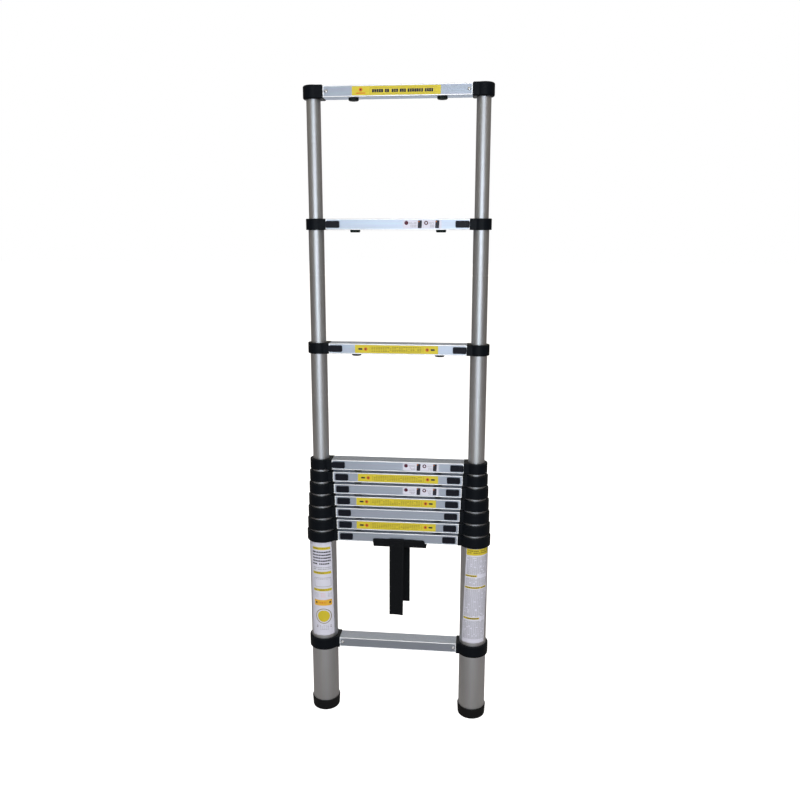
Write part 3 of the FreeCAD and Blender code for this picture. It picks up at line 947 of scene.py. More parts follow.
@cache
def stitch_tree(material: bpy.types.Material) -> bpy.types.NodeTree:
    """Row of stitches along each line of a mesh of edges.

    Args:
        material: the thread's finish.

    Returns:
        The tree, with the stitch's sizes as inputs.
    """
    tree = new_tree("Stitches along seams", "Seams", "Stitches",
                    ("Pitch", "Half Stitch", "Thread Radius"))
    nodes, links = tree.nodes, tree.links

    sizes = nodes.new("NodeGroupInput")
    sizes.label = "Sizes"
    seam = nodes.new("GeometryNodeMeshToCurve")
    seam.label = "Seam lines"
    spaced = nodes.new("GeometryNodeResampleCurve")
    spaced.label = "A point for each stitch"
    tangent = nodes.new("GeometryNodeInputTangent")
    tangent.label = "Way the seam runs"
    turn = nodes.new("FunctionNodeAlignRotationToVector")
    turn.label = "Turn along the seam"
    bead = nodes.new("GeometryNodeMeshUVSphere")
    bead.label = "Bead of thread"
    thread = nodes.new("ShaderNodeCombineXYZ")
    thread.label = "Draw it out to a stitch"
    on_points = nodes.new("GeometryNodeInstanceOnPoints")
    on_points.label = "A stitch on each point"
    ending = keep_instances(tree, on_points, material)
    set_out(nodes, (
        ("", (sizes,)),
        ("Seam", (seam, spaced, tangent, turn)),
        ("Stitch", (bead, thread)),
        ("", (on_points,)),
        ("", ending),
    ))

    spaced.mode = "LENGTH"
    turn.axis = "Z"
    bead.inputs["Segments"].default_value = 8
    bead.inputs["Rings"].default_value = 6
    bead.inputs["Radius"].default_value = 1.0

    links.new(sizes.outputs["Seams"], seam.inputs["Mesh"])
    links.new(seam.outputs["Curve"], spaced.inputs["Curve"])
    links.new(sizes.outputs["Pitch"], spaced.inputs["Length"])
    links.new(tangent.outputs["Tangent"], turn.inputs["Vector"])
    links.new(sizes.outputs["Thread Radius"], thread.inputs["X"])
    links.new(sizes.outputs["Thread Radius"], thread.inputs["Y"])
    links.new(sizes.outputs["Half Stitch"], thread.inputs["Z"])
    links.new(spaced.outputs["Curve"], on_points.inputs["Points"])
    links.new(bead.outputs["Mesh"], on_points.inputs["Instance"])
    links.new(turn.outputs["Rotation"], on_points.inputs["Rotation"])
    links.new(thread.outputs["Vector"], on_points.inputs["Scale"])
    return tree


@cache
def print_tree(material: bpy.types.Material) -> bpy.types.NodeTree:
    """Rows of plain blocks of differing widths, centred on each point of a mesh.

    Args:
        material: the ink.

    Returns:
        The tree, with the rows' counts and sizes and a seed as inputs.
    """
    tree = new_tree("Rows of print", "Centres", "Print",
                    ("Cell Width", "Row Pitch", "Row Height", "Thickness", "Least Share"),
                    counts=("Rows", "Blocks", "Seed"))
    nodes, links = tree.nodes, tree.links

    sizes = nodes.new("NodeGroupInput")
    sizes.label = "Sizes"
    last_block = nodes.new("ShaderNodeMath")
    last_block.label = "Steps along a row"
    row_length = nodes.new("ShaderNodeMath")
    row_length.label = "Row's length"
    last_row = nodes.new("ShaderNodeMath")
    last_row.label = "Steps down the rows"
    column_height = nodes.new("ShaderNodeMath")
    column_height.label = "Rows' height"
    cells = nodes.new("GeometryNodeMeshGrid")
    cells.label = "A point for each block"
    on_centres = nodes.new("GeometryNodeInstanceOnPoints")
    on_centres.label = "Rows on each centre"
    centred = nodes.new("GeometryNodeRealizeInstances")
    centred.label = "Points in place"
    gap = nodes.new("FunctionNodeRandomValue")
    gap.label = "Which blocks are left out"
    ragged = nodes.new("GeometryNodeDeleteGeometry")
    ragged.label = "Ragged rows"
    share = nodes.new("FunctionNodeRandomValue")
    share.label = "Share of the cell"
    width = nodes.new("ShaderNodeMath")
    width.label = "Block's width"
    block_size = nodes.new("ShaderNodeCombineXYZ")
    block_size.label = "Block's size"
    block = nodes.new("GeometryNodeMeshCube")
    block.label = "Block"
    on_cells = nodes.new("GeometryNodeInstanceOnPoints")
    on_cells.label = "A block on each point"
    ending = keep_instances(tree, on_cells, material)
    set_out(nodes, (
        ("", (sizes,)),
        ("Rows", (last_block, row_length, last_row, column_height)),
        ("Rows", (cells, on_centres, centred, gap, ragged)),
        ("Blocks", (share, width, block_size, block)),
        ("Blocks", (on_cells,)),
        ("", ending),
    ))

    last_block.operation = "SUBTRACT"
    row_length.operation = "MULTIPLY"
    last_row.operation = "SUBTRACT"
    column_height.operation = "MULTIPLY"
    gap.data_type = "BOOLEAN"
    ragged.domain = "POINT"
    share.data_type = "FLOAT"
    for node, socket, value in (
            (last_block, 1, 1.0), (last_row, 1, 1.0), (gap, 6, 0.07), (share, 3, 0.92)):
        node.inputs[socket].default_value = value
    width.operation = "MULTIPLY"

    links.new(sizes.outputs["Blocks"], last_block.inputs[0])
    links.new(last_block.outputs["Value"], row_length.inputs[0])
    links.new(sizes.outputs["Cell Width"], row_length.inputs[1])
    links.new(sizes.outputs["Rows"], last_row.inputs[0])
    links.new(last_row.outputs["Value"], column_height.inputs[0])
    links.new(sizes.outputs["Row Pitch"], column_height.inputs[1])
    links.new(row_length.outputs["Value"], cells.inputs["Size X"])
    links.new(column_height.outputs["Value"], cells.inputs["Size Y"])
    links.new(sizes.outputs["Blocks"], cells.inputs["Vertices X"])
    links.new(sizes.outputs["Rows"], cells.inputs["Vertices Y"])
    links.new(sizes.outputs["Centres"], on_centres.inputs["Points"])
    links.new(cells.outputs["Mesh"], on_centres.inputs["Instance"])
    links.new(on_centres.outputs["Instances"], centred.inputs["Geometry"])
    links.new(sizes.outputs["Seed"], gap.inputs[8])
    links.new(centred.outputs["Geometry"], ragged.inputs["Geometry"])
    links.new(gap.outputs[3], ragged.inputs["Selection"])
    links.new(sizes.outputs["Seed"], share.inputs[8])
    links.new(sizes.outputs["Least Share"], share.inputs[2])
    links.new(share.outputs[1], width.inputs[0])
    links.new(sizes.outputs["Cell Width"], width.inputs[1])
    links.new(width.outputs["Value"], block_size.inputs["X"])
    links.new(sizes.outputs["Row Height"], block_size.inputs["Y"])
    links.new(sizes.outputs["Thickness"], block_size.inputs["Z"])
    links.new(ragged.outputs["Geometry"], on_cells.inputs["Points"])
    links.new(block.outputs["Mesh"], on_cells.inputs["Instance"])
    links.new(block_size.outputs["Vector"], on_cells.inputs["Scale"])
    return tree


# ---- Labels -------------------------------------------------------------------------------------

@dataclass(frozen=True)
class FlatGround:
    """Flat front of a rung: across is +X, down is -Z, out is -Y. Facets of zero mean no cuts."""

    left: float
    top: float
    face: float
    facet: float = 0.0
    step_down: float = 0.0

    def place(self, across: float, down: float, out: float) -> Vector:
        """Where a point of the label is."""
        return Vector((self.left + across, self.face - out, self.top - down))


@dataclass(frozen=True)
class TubeGround:
    """Front of a tube: across runs round it from -Y towards +X, and the label leans a little.

    Angles are in radians from -Y; the lean is how far the angle changes from the label's top to
    its end. The label is cut into facets across and downwards, to follow the tube.
    """

    axis: float
    radius: float
    top: float
    middle_angle: float
    lean: float
    width: float
    height: float
    facet: float = 0.0015
    step_down: float = 0.008

    def place(self, across: float, down: float, out: float) -> Vector:
        """Where a point of the label is."""
        angle = (self.middle_angle + self.lean * down / self.height
                 + (across - self.width / 2) / self.radius)
        reach = self.radius + out
        return Vector((self.axis + reach * math.sin(angle), -reach * math.cos(angle),
                       self.top - down))


@dataclass
class Label:
    """Printed film label drawn in its own plane, in millimetres, then laid on its ground.

    Layer 0 is the film, and each further layer of ink stands a little prouder.
    """

    name: str
    width: float
    height: float
    film: FilmFinish
    ground: FlatGround | TubeGround
    corner: float = 1.5
    film_thickness: float = 0.15
    ink_step: float = 0.03
    bury: float = 0.02                 # how far ink reaches into the layer below it
    disc_sides: int = 32
    corner_steps: int = 4
    weld: float = 0.00001              # points nearer than this to a cut lie on it
    build: bmesh.types.BMesh = field(default_factory=bmesh.new)

    def __post_init__(self) -> None:
        """Lays the film down first."""
        self.slab(self.rounded(0.0, 0.0, self.width, self.height, self.corner))

    def rounded(self, across: float, down: float, width: float, height: float, corner: float,
                slant: float = 0.0) -> list[tuple[float, float]]:
        """Outline of a rectangle with rounded corners.

        Args:
            across: its left edge.
            down: its top edge.
            width: its width.
            height: its height.
            corner: radius of its corners.
            slant: how far its top leans to the right.

        Returns:
            The outline's points.
        """
        corner = min(corner, width / 2 - 0.01, height / 2 - 0.01)
        points = []
        for quarter, (x, y) in enumerate((
                (width - corner, height - corner), (corner, height - corner), (corner, corner),
                (width - corner, corner))):
            for step in range(self.corner_steps + 1):
                angle = math.pi / 2 * (quarter + step / self.corner_steps)
                u, v = x + corner * math.cos(angle), y + corner * math.sin(angle)
                points.append((across + u + slant * (1 - v / height), down + v))
        return points

    def slab(self, outline: Sequence[tuple[float, float]], ink: Optional[Ink] = None,
             layer: int = 0, hole: Sequence[tuple[float, float]] = ()) -> None:
        """Thin closed slab: the film itself, or ink on it.

        Args:
            outline: points round its edge.
            ink: its ink, or None for the film.
            layer: its layer, counted from the film.
            hole: points round a hole, as many as the outline's.
        """
        build = self.build
        top = self.film_thickness + self.ink_step * layer
        low = top - self.ink_step - self.bury if ink else 0.0
        rings = [[build.verts.new((u, v, w)) for u, v in edge] for edge in (outline, hole) if edge
                 for w in (low, top)]
        count = len(outline)
        if hole:
            outer_low, outer_high, inner_low, inner_high = rings
            pairs = ((outer_low, outer_high), (outer_high, inner_high), (inner_high, inner_low),
                     (inner_low, outer_low))
            made = []
        else:
            pairs = ((rings[0], rings[1]),)
            made = [build.faces.new(rings[1]), build.faces.new(rings[0][::-1])]
        for one, two in pairs:
            for index in range(count):
                after = (index + 1) % count
                made.append(build.faces.new((one[index], one[after], two[after], two[index])))
        for face in made:
            face.material_index = 1 + INKS.index(ink) if ink else 0

    def bar(self, ink: Ink, across: float, down: float, width: float, height: float,
            corner: float = 0.3, layer: int = 1, slant: float = 0.0) -> None:
        """Bar of ink with rounded corners."""
        self.slab(self.rounded(across, down, width, height, corner, slant), ink, layer)

    def disc(self, ink: Ink, across: float, down: float, radius: float, inner: float = 0.0,
             layer: int = 1) -> None:
        """Disc of ink about a centre, or a ring if it has an inner radius."""
        turns = [math.tau * step / self.disc_sides for step in range(self.disc_sides)]
        edge, hole = ([(across + size * math.cos(turn), down + size * math.sin(turn))
                       for turn in turns] for size in (radius, inner))
        self.slab(edge, ink, layer, hole if inner else ())

    def frame_line(self, ink: Ink, across: float, down: float, width: float, height: float,
                   line: float = 0.5, corner: float = 1.2) -> None:
        """Thin outline of a box."""
        inside = self.rounded(across + line, down + line, width - 2 * line, height - 2 * line,
                              corner)
        self.slab(self.rounded(across, down, width, height, corner), ink, 1, inside)

    def rows(self, ink: Ink, across: float, down: float, width: float, count: int, pitch: float,
             height: float, blocks: int, seed: int, least: float = 0.45) -> None:
        """Rows of blocks that stand for small print.

        Args:
            ink: their ink.
            across: the rows' left end.
            down: top of the first row.
            width: the rows' length.
            count: how many rows.
            pitch: from row to row.
            height: the blocks' height.
            blocks: how many blocks in a row.
            seed: which widths they get.
            least: the narrowest block's share of its cell.
        """
        thickness = self.ink_step + self.bury
        middle = self.film_thickness + self.ink_step - thickness / 2
        centre = bpy.data.meshes.new(f"{self.name} rows")
        half_height = ((count - 1) * pitch + height) / 2
        centre.from_pydata([(across + width / 2, down + half_height, middle)], [], [])
        grown = grow(f"{self.name} rows", centre, print_tree(ink.value.material()), {
            "Rows": count, "Blocks": blocks, "Seed": seed, "Cell Width": width / blocks,
            "Row Pitch": pitch, "Row Height": height, "Thickness": thickness, "Least Share": least})
        first = len(self.build.faces)
        self.build.from_mesh(grown)
        self.build.faces.ensure_lookup_table()
        for face in self.build.faces[first:]:
            face.material_index = 1 + INKS.index(ink)

    def lay(self, body: str, slot: Slot) -> bpy.types.Object:
        """Cuts the label into small facets where its ground is round, and lays it down.

        Args:
            body: the body it moves with.
            slot: the record's material slot.

        Returns:
            The label's object.
        """
        build = self.build
        for way, size, facet in (
                (Vector((1, 0, 0)), self.width, self.ground.facet / MILLIMETRE),
                (Vector((0, 1, 0)), self.height, self.ground.step_down / MILLIMETRE)):
            for step in range(1, math.ceil(size / facet) if facet else 0):
                everything = build.verts[:] + build.edges[:] + build.faces[:]
                bmesh.ops.bisect_plane(build, geom=everything, plane_co=way * step * facet,
                                       plane_no=way, dist=self.weld)
        for vertex in build.verts:
            vertex.co = self.ground.place(*(size * MILLIMETRE for size in vertex.co))
        mesh = mesh_from(build, self.name)
        materials = [self.film.material(), *(ink.value.material() for ink in INKS)]
        return add_piece(self.name, mesh, body, slot, materials)


@dataclass
class RungLabels:
    """Yellow strips and white stickers in the recess of the rungs' fronts. Sizes in millimetres."""

    strip_width: float = 204.0
    strip_height: float = 20.0
    sticker_left: float = 14.0
    sticker_width: float = 91.0
    sticker_height: float = 19.0
    top_strip: tuple[int, float] = (1, -104.0)             # a rung, and where its strip starts
    strips: tuple[tuple[int, float], ...] = ((3, -104.0), (5, -100.5), (7, -105.2), (9, -105.3))
    sticker_rungs: tuple[int, ...] = (2, 4, 6)
    sticker_marks: tuple[tuple[float, float], ...] = ((8.2, 34.8), (54.8, 75.8))   # mark and block

    def ground(self, rung: int, left: float, height: float) -> FlatGround:
        """Recessed front of a rung, with a label of that height on its middle."""
        low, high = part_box(f"rung_{rung:02d}")
        return FlatGround(left=left * MILLIMETRE, top=(low.z + high.z + height * MILLIMETRE) / 2,
                          face=low.y + LIP)

    def make(self) -> None:
        """Makes every label of the rungs."""
        self.bold_strip(*self.top_strip)
        for rung, left in self.strips:
            self.strip(rung, left)
        for rung in self.sticker_rungs:
            self.sticker(rung)

    def bold_strip(self, rung: int, left: float) -> None:
        """Strip of the topmost rung: an orange mark, and one bold row in a thin frame."""
        label = Label(f"rung_label_{rung:02d}", self.strip_width, self.strip_height, YELLOW_FILM,
                      self.ground(rung, left, self.strip_height))
        label.disc(Ink.ORANGE, 20.5, 7.6, 4.2)
        label.disc(Ink.DARK, 20.5, 7.6, 1.8, layer=2)
        label.bar(Ink.ORANGE, 9.5, 14.0, 22.0, 2.4, corner=0.6)
        label.frame_line(Ink.OLIVE, 41.5, 4.0, 149.0, 13.2, line=0.4)
        for start, width, blocks in ((46.5, 26.0, 5), (76.0, 31.0, 6), (110.0, 15.0, 3),
                                     (128.0, 36.0, 7), (167.0, 20.0, 4)):
            label.rows(Ink.DARK, start, 7.0, width, 1, 5.0, 7.2, blocks, 11 + blocks, least=0.8)
        label.lay(section_body(rung), Slot.YELLOW)

    def strip(self, rung: int, left: float) -> None:
        """Strip of a lower rung: a pill and an orange disc at each end, small print between."""
        label = Label(f"rung_label_{rung:02d}", self.strip_width, self.strip_height, YELLOW_FILM,
                      self.ground(rung, left, self.strip_height))
        middle = self.strip_height / 2
        for end, way in ((0.0, 1), (self.strip_width, -1)):
            pill_start = min(end + way * 8.0, end + way * 18.5)
            label.bar(Ink.DARK, pill_start, middle - 2.2, 10.5, 4.4, corner=2.2)
            label.disc(Ink.ORANGE, end + way * 26.5, middle, 4.4)
            label.disc(Ink.DARK, end + way * 26.5, middle, 1.9, layer=2)
            label.bar(Ink.OLIVE, end + way * 37.0, 3.4, 0.6, self.strip_height - 6.8, corner=0.1)
        label.rows(Ink.OLIVE, 40.0, 4.2, 124.0, 4, 3.5, 1.3, 22, 20 + rung, least=0.6)
        label.lay(section_body(rung), Slot.YELLOW)

    def sticker(self, rung: int) -> None:
        """White sticker in two halves, each with a mark, small print and a dark slanted block."""
        label = Label(f"rung_label_{rung:02d}", self.sticker_width, self.sticker_height, WHITE_FILM,
                      self.ground(rung, self.sticker_left, self.sticker_height))
        for number, (mark, block) in enumerate(self.sticker_marks):
            label.disc(Ink.PLUM, mark, 6.4, 4.8, inner=2.2 if number else 0.0)
            label.rows(Ink.GREY, mark + 6.5, 4.8, block - mark - 9.0, 2, 2.4, 1.2, 5,
                       40 + rung + number, least=0.6)
            label.rows(Ink.GREY, mark + 9.0, 10.6, block - mark - 11.5, 3, 2.3, 1.4, 4,
                       50 + rung + number, least=0.6)
            label.bar(Ink.DARK, block, 0.5, 9.4, 18.0, corner=1.8, slant=0.9)
            label.bar(Ink.ORANGE, block + 1.4, 2.0, 2.6, 2.4, corner=0.7, layer=2)
        label.bar(Ink.GREY, 48.6, 2.0, 0.3, 15.0, corner=0.1)
        label.lay(section_body(rung), Slot.WHITE)


@dataclass
class TubeLabels:
    """Tall white labels on the base tubes. Sizes in millimetres, angles in degrees."""

    width: float = 66.0
    height: float = 262.0
    top: float = 484.0
    corner: float = 2.0

    def ground(self, side: Side, middle_angle: float, lean: float) -> TubeGround:
        """Front of a base tube."""
        low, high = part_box(f"stile_tubes_{SECTIONS:02d}")
        return TubeGround(axis=side.value * (high.x - high.y), radius=high.y,
                          top=self.top * MILLIMETRE, middle_angle=math.radians(middle_angle),
                          lean=math.radians(lean),
                          width=self.width * MILLIMETRE, height=self.height * MILLIMETRE)

    def make(self) -> None:
        """Makes both labels."""
        self.left()
        self.right()

    def left(self) -> None:
        """Left label: bold rows and bars, an outlined box, an amber bar, and a disc in a ring."""
        label = Label("tube_label_left", self.width, self.height, WHITE_FILM,
                      self.ground(Side.LEFT, -5.5, 9.0), corner=self.corner)
        for ink, across, down, width, height, corner in (
                (Ink.YELLOW, 12.0, 13.0, 50.0, 7.4, 1.0),
                (Ink.YELLOW, 11.0, 81.0, 51.0, 7.0, 1.0),
                (Ink.YELLOW, 11.0, 129.0, 51.0, 7.0, 1.0),
                (Ink.AMBER, 12.0, 160.5, 49.0, 16.5, 1.2)):
            label.bar(ink, across, down, width, height, corner)
        label.frame_line(Ink.GREY, 14.5, 98.0, 46.0, 26.0, line=1.3)
        for ink, across, down, width, count, pitch, height, blocks, seed, least in (
                (Ink.DARK, 15.0, 14.9, 44.0, 1, 4.0, 3.4, 10, 61, 0.7),
                (Ink.DARK, 11.0, 25.0, 51.0, 5, 8.1, 4.0, 11, 62, 0.7),
                (Ink.GREY, 12.0, 68.6, 49.0, 2, 4.8, 2.4, 11, 63, 0.6),
                (Ink.DARK, 12.5, 82.8, 48.0, 1, 4.0, 3.4, 11, 64, 0.7),
                (Ink.GREY, 17.5, 101.5, 40.0, 1, 3.0, 1.3, 7, 65, 0.45),
                (Ink.DARK, 12.5, 130.8, 48.0, 1, 4.0, 3.4, 11, 66, 0.7),
                (Ink.GREY, 13.0, 141.5, 12.0, 4, 3.4, 1.1, 3, 67, 0.45),
                (Ink.PINK, 30.0, 141.5, 14.0, 4, 3.4, 1.1, 3, 68, 0.45),
                (Ink.GREY, 49.0, 141.5, 12.0, 4, 3.4, 1.1, 3, 69, 0.45),
                (Ink.ORANGE, 24.0, 166.6, 25.0, 1, 4.0, 4.0, 6, 70, 0.45),
                (Ink.PLUM, 15.5, 234.0, 5.0, 2, 4.0, 2.0, 2, 71, 0.45),
                (Ink.PLUM, 52.5, 234.0, 5.0, 2, 4.0, 2.0, 2, 72, 0.45),
                (Ink.GREY, 23.5, 233.5, 26.0, 4, 3.7, 1.3, 5, 73, 0.45)):
            label.rows(ink, across, down, width, count, pitch, height, blocks, seed, least)
        for centre in (18.0, 55.0):
            label.disc(Ink.DARK, centre, 168.5, 2.6, layer=2)
        label.disc(Ink.OLIVE, 36.5, 207.0, 21.6, inner=19.8)
        label.disc(Ink.YELLOW, 36.5, 207.0, 16.5)
        label.lay(section_body(SECTIONS), Slot.WHITE)

    def right(self) -> None:
        """Right label: a yellow header and four blocks of small print under short yellow bars."""
        label = Label("tube_label_right", self.width, self.height, WHITE_FILM,
                      self.ground(Side.RIGHT, 20.0, -19.0), corner=self.corner)
        label.bar(Ink.YELLOW, 1.0, 1.0, 64.0, 17.0, corner=1.4)
        label.rows(Ink.OLIVE, 5.0, 5.0, 56.0, 2, 5.0, 2.6, 12, 81, least=0.6)
        for number, (yellow_down, yellow_width, rows_down, count) in enumerate((
                (None, 0.0, 22.0, 18), (71.5, 30.0, 80.5, 8), (104.0, 60.0, 112.0, 28),
                (190.0, 44.0, 200.0, 19))):
            if yellow_down:
                label.bar(Ink.YELLOW, 2.0, yellow_down, yellow_width, 5.2, corner=0.8)
                label.rows(Ink.DARK, 3.0, yellow_down + 1.4, yellow_width - 3.0, 1, 4.0, 2.4,
                           max(4, round(yellow_width / 5)), 82 + number, least=0.6)
            label.rows(Ink.GREY, 3.5, rows_down, 59.0, count, 2.7, 1.5, 12, 90 + number, least=0.75)
        label.lay(section_body(SECTIONS), Slot.WHITE)


# ---- Closure strap ------------------------------------------------------------------------------

@dataclass
class ClosureStrap:
    """Webbing band slung round the base section's rung, with a tail in front and one behind.

    Sizes in metres.
    """

    thickness: float = 0.0024
    rib_pitch: float = 0.0024
    rib_height: float = 0.00008
    column: float = 0.0004
    row: float = 0.002
    band_left: float = -0.064
    band_right: float = 0.070
    band_cover: float = 0.0105
    band_drop: float = 0.0115
    band_turn: float = 0.0045
    band_corner: float = 0.005
    lie: float = 0.00005                   # gap between the webbing and the rung
    slack: float = 0.0005
    slack_length: float = 0.067
    right_flare: float = 0.0045            # how far the band's lower edge spreads at its ends
    right_flare_start: float = 0.100
    right_flare_run: float = 0.034
    right_sag: float = 0.0014
    left_flare: float = 0.003
    left_flare_run: float = 0.012
    tail_width: float = 0.038
    tail_corner: float = 0.0015
    front_tail_middle: float = -0.001
    front_tail_length: float = 0.211
    front_tail_rise: float = 0.0015
    front_tail_taper: float = 0.0025
    front_tail_drift: float = -0.0016
    front_curl: float = 0.0007             # how far the hanging tail waves, and over what length
    front_curl_run: float = 0.038
    front_cup: float = 0.25                # how much its edges come forward, fully at its end
    front_cup_run: float = 0.19
    front_tilt: float = 0.0016             # how much one side hangs lower
    back_curl: float = 0.0006
    back_curl_run: float = 0.031
    back_tail_lap: float = 0.0004
    back_tail_middle: float = 0.010
    back_tail_length: float = 0.170
    seam_inset: float = 0.0032
    seam_end: float = 0.004                # from a tail's end to its last stitch
    seam_step: float = 0.004
    band_seam_end: float = 0.003
    box_top: float = 0.003                 # sewn box, from the top of the front tail
    box_margin: float = 0.0035
    stitch_pitch: float = 0.0038
    half_stitch: float = 0.0015
    thread_radius: float = 0.00026
    selvedge: float = 0.0012               # edge over which the webbing thins
    selvedge_share: float = 0.45
    node: str = "closure_strap"

    def __post_init__(self) -> None:
        """Reads where the rung's lower face and sides are."""
        low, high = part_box(f"rung_{SECTIONS:02d}")
        self.rung_low = low.z
        self.half_depth = high.y

    def wave(self, x: float) -> float:
        """How far the band's front stands off the rung at a place along it."""
        turn = math.tau * (x - self.band_left) / self.slack_length
        return self.slack * (0.5 - 0.5 * math.cos(turn))

    def ribbon(self, name: str, length: float, half_width: Callable[[float], float],
               place: Place) -> bpy.types.Mesh:
        """Closed length of ribbed webbing with a map of its weave.

        Args:
            name: the mesh's name.
            length: length of the webbing.
            half_width: half its width at a distance along it.
            place: where a point is, from its distances along, across and out of the webbing.

        Returns:
            The mesh.
        """
        widest = half_width(length / 2)
        columns = round(2 * widest / self.column)
        rows = round(length / self.row)
        near_end = {self.tail_corner * share for share in (0.1, 0.35, 0.7)}
        distances = sorted({length * step / rows for step in range(rows + 1)} | near_end
                           | {length - distance for distance in near_end})
        build = bmesh.new()
        weave = build.loops.layers.uv.new(STRAP_WEBBING.map_name)
        maps = {}
        faces = []
        for out in (1, -1):
            grid = []
            for along in distances:
                line = []
                for step in range(columns + 1):
                    share = 2 * step / columns - 1
                    across = share * half_width(along)
                    rib = self.rib_height * math.cos(math.tau * share * widest / self.rib_pitch)
                    inwards = (1 - abs(share)) * widest / self.selvedge
                    edge = min(1.0, self.selvedge_share + (1 - self.selvedge_share) * inwards)
                    rise = (self.thickness / 2 - self.rib_height + rib) * edge
                    vertex = build.verts.new(place(along, across, out * rise))
                    maps[vertex] = (across, along)
                    line.append(vertex)
                grid.append(line)
            faces.append(grid)
        front, back = faces
        last = len(distances) - 1
        for grid in (front, back):
            for index in range(last):
                for step in range(columns):
                    build.faces.new((grid[index][step], grid[index][step + 1],
                                     grid[index + 1][step + 1], grid[index + 1][step]))
        for index in range(last):
            for step in (0, columns):
                build.faces.new((front[index][step], front[index + 1][step], back[index + 1][step],
                                 back[index][step]))
        for step in range(columns):
            for index in (0, last):
                build.faces.new((front[index][step], front[index][step + 1], back[index][step + 1],
                                 back[index][step]))
        for face in build.faces:
            for loop in face.loops:
                loop[weave].uv = maps[loop.vert]
        return mesh_from(build, name, crease=math.radians(60))

    def end_round(self, width: float, corner: float, length: float) -> Callable[[float], float]:
        """Half-width of a strip whose corners are rounded.

        Args:
            width: the strip's full width.
            corner: radius of its corners.
            length: the strip's length.

        Returns:
            A function of the distance along the strip.
        """
        def half_width(along: float) -> float:
            """Half the width at a distance along the strip."""
            inset = max(0.0, corner - min(along, length - along))
            return width / 2 - corner + math.sqrt(max(0.0, corner ** 2 - inset ** 2))
        return half_width

    def band_run(self) -> tuple[float, float, float, float, float]:
        """How the band's middle runs round the rung.

        Returns:
            Its distance out, its turns' radius, and the lengths of its side, turn and underside.
        """
        middle = self.half_depth + self.lie + self.thickness / 2
        turn = self.band_turn - self.thickness / 2
        side = self.band_cover + self.band_drop - self.thickness / 2 - turn
        return middle, turn, side, turn * math.pi / 2, 2 * (middle - turn)

    def band_place(self, along: float, across: float, out: float) -> Vector:
        """Where a point of the band is: along is +X, across goes down, under and up behind."""
        middle, turn, side, arc, under = self.band_run()
        bottom = self.rung_low - self.band_drop + self.thickness / 2
        way = across + side + arc + under / 2
        fullness = min(1.0, way / (side + arc))
        right_end = max(0.0, (along - self.right_flare_start) / self.right_flare_run)
        left_end = max(0.0, 1 - along / self.left_flare_run)
        x = self.band_left + along + fullness * (self.right_flare * right_end ** 2
                                                 + self.left_flare * left_end)
        sag = self.right_sag * right_end
        if way <= side:
            return Vector((x, -middle - out - self.wave(x), bottom + turn + side - way - sag))
        if way <= side + arc:
            angle = (way - side) / turn
            reach = turn + out
            outwards = reach * math.cos(angle) + self.wave(x) * math.cos(angle)
            return Vector((x, -middle + turn - outwards,
                           bottom + turn - reach * math.sin(angle) - sag * math.cos(angle)))
        if way <= side + arc + under:
            return Vector((x, way - side - arc - middle + turn, bottom - out))
        if way <= side + 2 * arc + under:
            angle = (way - side - arc - under) / turn
            reach = turn + out
            return Vector((x, middle - turn + reach * math.sin(angle),
                           bottom + turn - reach * math.cos(angle)))
        return Vector((x, middle + out, bottom + turn + way - side - 2 * arc - under))

    def band_width(self) -> float:
        """Length of the band's way down the front, under the rung and up behind."""
        _, _, side, arc, under = self.band_run()
        return 2 * (side + arc) + under

    def front_place(self, along: float, across: float, out: float) -> Vector:
        """Where a point of the front tail is: along is down, across is +X, out is -Y."""
        share = along / self.front_tail_length
        narrow = 1 - self.front_tail_taper / self.tail_width * share
        free = max(0.0, along - self.band_cover - self.band_drop)
        x = self.front_tail_middle + self.front_tail_drift * share + across * narrow
        y = -(self.half_depth + self.lie + 1.5 * self.thickness + self.wave(self.front_tail_middle))
        cupping = self.front_cup * free / self.front_cup_run * across * across / self.tail_width
        curl = self.front_curl * math.sin(free / self.front_curl_run) + cupping
        tilt = self.front_tilt * share * across / self.tail_width
        top = self.rung_low + self.band_cover + self.front_tail_rise
        return Vector((x, y - out - curl, top - along - tilt))

    def back_place(self, along: float, across: float, out: float) -> Vector:
        """Where a point of the back tail is: along is down, across is -X, out is +Y."""
        y = self.half_depth + self.lie + self.thickness / 2
        curl = self.back_curl * math.sin(along / self.back_curl_run)
        return Vector((self.back_tail_middle - across, y + out + curl,
                       self.rung_low - self.band_drop + self.back_tail_lap - along))

